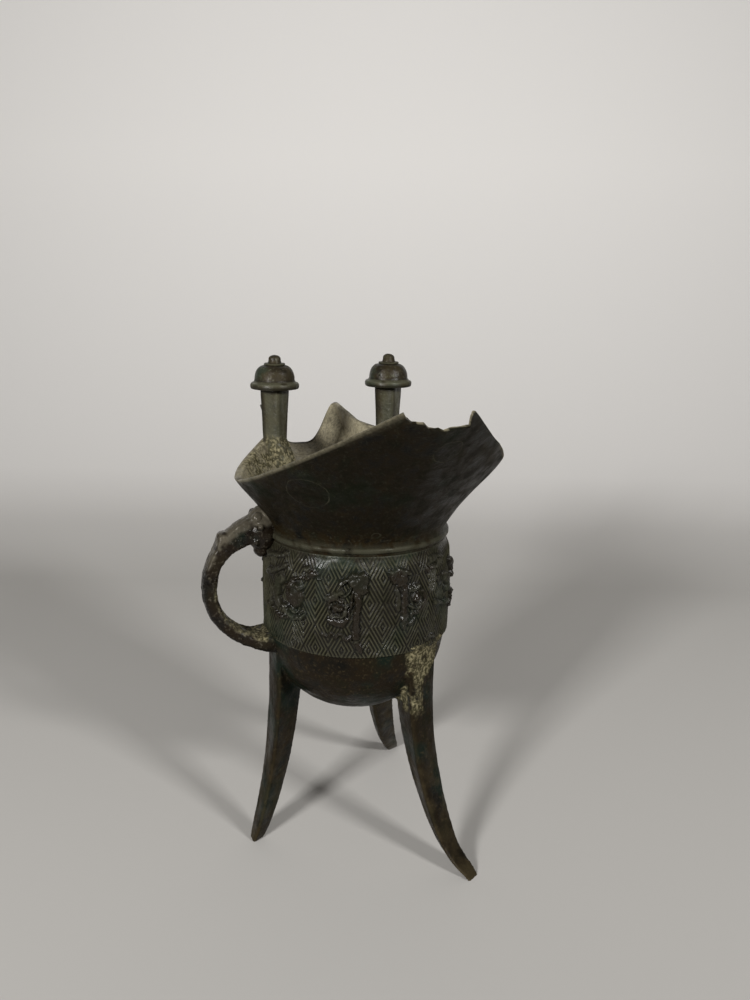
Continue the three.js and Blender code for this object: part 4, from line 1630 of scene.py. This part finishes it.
@dataclass
class CappedPost:
    """A square post on the mouth's edge with its domed cap."""

    x: float = 28.9
    y: float = 21.2
    foot_side: float = 6.7
    top_side: float = 7.9
    chamfer: float = 0.9
    foot_z: float = 137.0
    cap_underside: float = 156.3
    root_depth: float = 7.0
    cap_radius: float = 8.5
    brim: float = 2.2
    dome_radius: float = 7.2
    dome_height: float = 5.6
    stud_radius: float = 3.5
    knob_radius: float = 2.15
    knob_height: float = 3.4

    def build(self, side: int, name: str, finish: Material) -> Piece:
        """Models the post and cap on one side of the mouth, and dresses them.

        Args:
            side: 1 on the handle's side, -1 on the far side.
            name: the piece's name.
            finish: the bronze.

        Returns:
            The piece.
        """
        shaft = self._shaft(side)
        centre = (self.x, side * self.y, self.cap_underside)
        cap = turned("cap", around=72, profile=self._cap_profile(), centre=centre)
        finish_with(shaft, "BOOLEAN", operation="UNION", object=cap, solver="EXACT")
        bpy.data.objects.remove(cap)
        shaft.name = name
        roughen(shaft, depth=0.08, size=4, seed=7.9 + side)
        self._mark_surface(shaft)
        return dress(shaft, finish, crease=35)

    def _shaft(self, side: int) -> Piece:
        """The square shaft, with a corner towards the spout and a root down the inner wall.

        Args:
            side: 1 on the handle's side, -1 on the far side.

        Returns:
            The shaft.
        """
        foot, root = self.foot_z, self.root_depth
        levels = [
            (foot - 1.5 * root, 0.6 * self.foot_side, 3.6),
            (foot - root, 0.95 * self.foot_side, 2.8),
            (foot - 0.6 * root, 1.1 * self.foot_side, 1.6),
            (foot - 0.25 * root, 1.15 * self.foot_side, 0.6),
            (foot + 0.2, 1.08 * self.foot_side, 0.1),
            (foot + 1.2, self.foot_side, 0),
            (foot + 4, blend(self.foot_side, self.top_side, 0.16), 0),
            (blend(foot, self.cap_underside, 0.5), blend(self.foot_side, self.top_side, 0.4), 0),
            (self.cap_underside - 2, blend(self.foot_side, self.top_side, 0.9), 0),
            (self.cap_underside + 0.6, self.top_side, 0),
        ]
        per_corner = 6

        def ring(turn: int, level: int) -> Place:
            """Place of one vertex of the shaft.

            Args:
                turn: which vertex of its ring it is.
                level: which ring it is on.

            Returns:
                The place from the cup's axis.
            """
            z, width, drift = levels[level]
            corner, part = divmod(turn, per_corner)
            reach = width / math.sqrt(2)
            cut = self.chamfer / math.sqrt(2)
            azimuth = math.radians(90 * corner)
            if part < 3:
                aside = blend(-cut, cut, part / 2)
                radial = reach - cut + (0.25 * cut if part == 1 else 0)
            else:
                share = (part - 2) / (per_corner - 2)
                radial, aside = Vector((reach - cut, cut)).lerp(Vector((cut, reach - cut)), share)
            x = radial * math.cos(azimuth) - aside * math.sin(azimuth)
            y = radial * math.sin(azimuth) + aside * math.cos(azimuth)
            return (self.x + x - drift, side * (self.y - drift) + y, z)

        return tube("shaft", 4 * per_corner, len(levels) - 1, ring)

    def _cap_profile(self) -> list[tuple]:
        """Radius and height of each ring of the cap: a brim, a cove, a dome, a stud and a knob.

        Returns:
            The rings from the cap's underside up.
        """
        edge, brim, dome = self.cap_radius, self.brim, self.dome_radius
        stud, knob = self.stud_radius, self.knob_radius
        profile = [
            (0, 0.3), (edge - 3, 0.2), (edge - 0.8, 0), (edge - 0.2, 0.2), (edge, 0.7),
            (edge, brim - 0.7), (edge - 0.3, brim - 0.15), (edge - 0.8, brim),
            (dome + 0.35, brim + 0.1), (dome + 0.05, brim + 0.4),
        ]
        dome_foot = brim + 0.9
        steps = 20
        for angle in (math.radians(90 * step / steps) for step in range(steps)):
            radius = stud - 0.4 + (dome - stud + 0.2) * math.cos(angle) ** 0.8
            profile.append((radius, dome_foot + (self.dome_height - 0.6) * math.sin(angle)))
        stud_foot = dome_foot + self.dome_height - 0.6
        knob_foot = stud_foot + 0.8
        knob_rise = brim + 0.5 + self.dome_height + self.knob_height - knob_foot
        profile += [
            (stud - 0.5, stud_foot), (stud + 0.1, stud_foot + 0.1), (stud + 0.2, stud_foot + 0.45),
            (stud, stud_foot + 0.7), (knob + 0.25, knob_foot), (knob, knob_foot + 0.25 * knob_rise),
        ]
        for angle in (math.radians(90 * step / 6) for step in range(1, 7)):
            rise = knob_rise * (0.45 + 0.55 * math.sin(angle))
            profile.append((knob * math.cos(angle), knob_foot + rise))
        return profile

    def _mark_surface(self, piece: Piece) -> None:
        """Marks the worn brim and the grey-green shaft, and paints shade under the cap, down the
        shaft's side corners and in the cap's cove and crease.

        Args:
            piece: the post with its cap.
        """
        x, _, z = from_axis(piece)
        patchy = mottle(places(piece), size=4, seed=9.4)
        over = z - self.cap_underside
        shaft = smooth(-over / 2) * 0.55 * smooth(0.8 + patchy)
        brim = smooth((0.7 - np.abs(over - self.brim)) / 0.5) * 0.6 * smooth(0.9 + patchy)
        mark(piece, Tint.PALE, np.maximum(shaft, brim))
        mark(piece, Tint.CRUST, smooth((self.foot_z + 2.5 - z) / 2) * smooth(1.0 + patchy))
        # Painted shade: the shaft's side corners darkened.
        corner = smooth((1.8 * self.chamfer - np.abs(x - self.x)) / 0.8)
        corner *= smooth((0.3 - over) / 0.4) * smooth((z - self.foot_z - 1) / 2)
        # Painted shadow under the cap's brim, and painted shade in the cap's cove and crease.
        under = smooth((1.2 - np.abs(over - 0.4)) / 0.6)
        cove = smooth((0.5 - np.abs(over - self.brim - 0.8)) / 0.4)
        crease_shade = smooth((0.45 - np.abs(over - self.brim - self.dome_height - 0.3)) / 0.3)
        hollow_shade = 0.8 * np.maximum(cove, crease_shade) * smooth(0.9 + 2 * patchy)
        mark(piece, Tint.DARK, np.maximum(np.maximum(0.75 * corner, 0.8 * under), hollow_shade))


def dress(piece: Piece, finish: Material, crease: float) -> Piece:
    """Shades a finished piece smooth, gives it its finish and sets it in the frame.

    Args:
        piece: the piece, with its place in its mesh.
        finish: its material.
        crease: edges sharper than this many degrees stay sharp.

    Returns:
        The piece.
    """
    only(piece)
    bpy.ops.object.shade_smooth_by_angle(angle=math.radians(crease))
    piece.data.materials.clear()
    piece.data.materials.append(finish)
    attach(piece, "root")
    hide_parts(NODE)
    faces = sum(len(p.vertices) - 2 for p in piece.data.polygons)
    log.info("%s: %d triangles", piece.name, faces)
    return piece


@dataclass(frozen=True)
class Lamp:
    """A soft box, in metres from the vessel as the camera sees it."""

    name: str
    aside: float
    ahead: float
    height: float
    power: float
    size: float = 0.15
    spread: float = 150.0
    aim_ahead: float = 0.6
    aim_height: float = 0.6

    def build(self, right: Vector, ahead: Vector) -> None:
        """Hangs the lamp.

        Args:
            right: level direction to the picture's right.
            ahead: level direction in which the camera looks.
        """
        lamp = bpy.data.lights.new(self.name, "AREA")
        lamp.energy = self.power
        lamp.size = self.size
        lamp.spread = math.radians(self.spread)
        holder = bpy.data.objects.new(self.name, lamp)
        bpy.context.collection.objects.link(holder)
        holder.location = right * self.aside + ahead * self.ahead + UP * self.height
        aim = ahead * self.aim_ahead + UP * self.aim_height - holder.location
        holder.rotation_euler = aim.to_track_quat("-Z", "Y").to_euler()


@dataclass
class Studio:
    """Pale seamless floor, two soft lights in front and the camera at the photograph's view.

    Lengths are in metres, but for the camera's place, which is in millimetres from the cup's axis.
    """

    camera_distance: float = 287.35
    camera_aside: float = 5.92
    camera_height: float = 193.17
    camera_turn: float = -20.25
    camera_pitch: float = 13.96
    camera_roll: float = 1.10
    lens: float = 31.6
    floor_colour: str = "c1beb9"
    # painted light: the wall behind is coloured lighter than the floor, and fade sets where the
    # board turns to it, for the brighter light on the wall
    lit_wall_colour: str = "eeebe7"
    fade: tuple = (0.26, 0.52)
    floor_half: float = 1.6
    floor_back: float = 0.4
    sweep_radius: float = 0.4
    sweep_angle: float = 80.0
    sweep_steps: int = 24
    wall_height: float = 1.5
    room_colour: tuple = (1.0, 0.99, 0.97, 1)
    room_light: float = 0.1
    lamps: tuple = (
        Lamp("soft_box_left", -0.41, -0.69, 0.42, 6.4),
        Lamp("soft_box_right", 0.575, -0.556, 0.51, 4.7),
    )

    def build(self) -> None:
        """Makes the floor, the even light of the room, the lamps and the camera."""
        self._floor()
        world = bpy.data.worlds.new("room")
        bpy.context.scene.world = world
        world.use_nodes = True
        background = world.node_tree.nodes["Background"]
        background.inputs["Color"].default_value = self.room_colour
        background.inputs["Strength"].default_value = self.room_light
        for lamp in self.lamps:
            lamp.build(self.right, self.ahead)
        self._camera()

    @property
    def ahead(self) -> Vector:
        """Level direction in which the camera looks."""
        turn = math.radians(self.camera_turn)
        return Vector((math.cos(turn), math.sin(turn), 0))

    @property
    def right(self) -> Vector:
        """Level direction to the picture's right."""
        return self.ahead.cross(UP)

    def _floor(self) -> None:
        """Floor that sweeps up behind, seen as one pale sheet."""
        bpy.ops.mesh.primitive_plane_add(size=2 * self.floor_half, location=(0, 0, 0))
        floor = bpy.context.object
        floor.name = "floor"
        with editing(floor):
            bpy.ops.transform.translate(value=(self.floor_back - self.floor_half, 0, 0))
            bpy.ops.mesh.select_all(action="DESELECT")
        for edge in floor.data.edges:
            ends = [floor.data.vertices[v].co.x for v in edge.vertices]
            edge.select = min(ends) > self.floor_back - MM
        bpy.ops.object.mode_set(mode="EDIT")
        wall = math.radians(self.sweep_angle)
        moves = []
        for step in range(self.sweep_steps):
            low, high = (wall * (step + i) / self.sweep_steps for i in (0, 1))
            ahead = self.sweep_radius * (math.sin(high) - math.sin(low))
            moves.append((ahead, 0, self.sweep_radius * (math.cos(low) - math.cos(high))))
        moves.append((self.wall_height * math.cos(wall), 0, self.wall_height * math.sin(wall)))
        for move in moves:
            bpy.ops.mesh.extrude_region_move(TRANSFORM_OT_translate={"value": move})
        bpy.ops.mesh.select_all(action="SELECT")
        bpy.ops.mesh.normals_make_consistent(inside=False)
        bpy.ops.transform.rotate(
            value=math.radians(-self.camera_turn), orient_axis="Z", center_override=(0, 0, 0)
        )
        bpy.ops.object.mode_set(mode="OBJECT")
        bpy.ops.object.shade_smooth()
        floor.data.materials.append(self._board())

    def _board(self) -> Material:
        """Matt painted board, darker in front than behind: the lighter colour behind is painted
        light, for the wall that the lamps light more brightly. It shows no gloss at all.

        Returns:
            The material.
        """
        material = bpy.data.materials.new("matt_painted_board")
        material.use_nodes = True
        tree = material.node_tree
        place = add_node(tree, "ShaderNodeNewGeometry", {}).outputs["Position"]
        inputs = {0: place, 1: self.ahead}
        away = add_node(tree, "ShaderNodeVectorMath", inputs, operation="DOT_PRODUCT")
        inputs = {"Value": away.outputs["Value"], 1: self.fade[0], 2: self.fade[1]}
        share = add_node(tree, "ShaderNodeMapRange", inputs).outputs["Result"]
        colours = {0: share, 6: linear(self.floor_colour), 7: linear(self.lit_wall_colour)}
        colour = add_node(tree, "ShaderNodeMix", colours, data_type="RGBA").outputs[2]
        shader = tree.nodes["Principled BSDF"]
        tree.links.new(colour, shader.inputs["Base Color"])
        shader.inputs["Roughness"].default_value = 0.9
        return material

    def _camera(self) -> None:
        """The camera, with the photograph's height, pitch and roll."""
        pitch = math.radians(self.camera_pitch)
        roll = math.radians(self.camera_roll)
        forward = self.ahead * math.cos(pitch) - UP * math.sin(pitch)
        level_up = self.right.cross(forward)
        right = self.right * math.cos(roll) + level_up * math.sin(roll)
        up = right.cross(forward)
        spot = self.right * self.camera_aside - self.ahead * self.camera_distance
        place = Vector(CUP.at(spot.x, spot.y, self.camera_height))
        lens = bpy.data.cameras.new("camera")
        lens.lens = self.lens
        lens.sensor_width = 36
        lens.sensor_fit = "AUTO"
        lens.clip_start = 0.01
        holder = bpy.data.objects.new("camera", lens)
        bpy.context.collection.objects.link(holder)
        turn = Matrix((right, up, -forward)).transposed().to_4x4()
        holder.matrix_world = Matrix.Translation(place) @ turn
        bpy.context.scene.camera = holder


BOWL = PatinatedBronze(
    "patinated_bronze_bowl", dark="0d0c08", brown="1d160c", green="131b14", pale="453c29",
    green_share=0.3, specular_high=0.12,
)
BAND = PatinatedBronze(
    "patinated_bronze_band", dark="0d0c08", brown="1a150d", olive="1f2016", green="1a2219",
    line="4f4d3b", patch_size=6, smoothest=0.22,
)
MOUTH = PatinatedBronze(
    "patinated_bronze_mouth", dark="0a0906", brown="21190b", green="191d10", green_share=0.25,
    patch_size=4.5, lump_depth=0.14, specular_high=0.1,
    scratches=((-32.3, 27.9, 134.2, 6.6), (-32.1, 6.3, 118.8, 1.8), (-57.7, -5.0, 149.1, 4.6)),
)
HANDLE = PatinatedBronze(
    "patinated_bronze_handle", brown="1c150d", olive="242017", pale="5f594c", green_share=0.15,
    specular_high=0.28, smoothest=0.16, roughest=0.5, lump_size=1.8,
)
POSTS = PatinatedBronze(
    "patinated_bronze_posts", dark="17130c", brown="2e2719", olive="3a3526", green="2d3227",
    pale="5a5a49", green_share=0.15, patch_size=5,
)


def main() -> None:
    """Builds the vessel piece by piece, then its studio."""
    bpy.context.scene.view_settings.view_transform = "Standard"
    mouth = FlaringMouth()
    BowlAndLegs().build(BOWL.build())
    ReliefBand().build(BAND.build())
    mouth.build(MOUTH.build())
    StrapHandle().build(HANDLE.build())
    posts = POSTS.build()
    for side, name in ((1, "post_handle_side"), (-1, "post_far_side")):
        CappedPost(foot_z=mouth.rim_height(CappedPost.x)).build(side, name, posts)
    Studio().build()


if __name__ == "__main__":
    main()
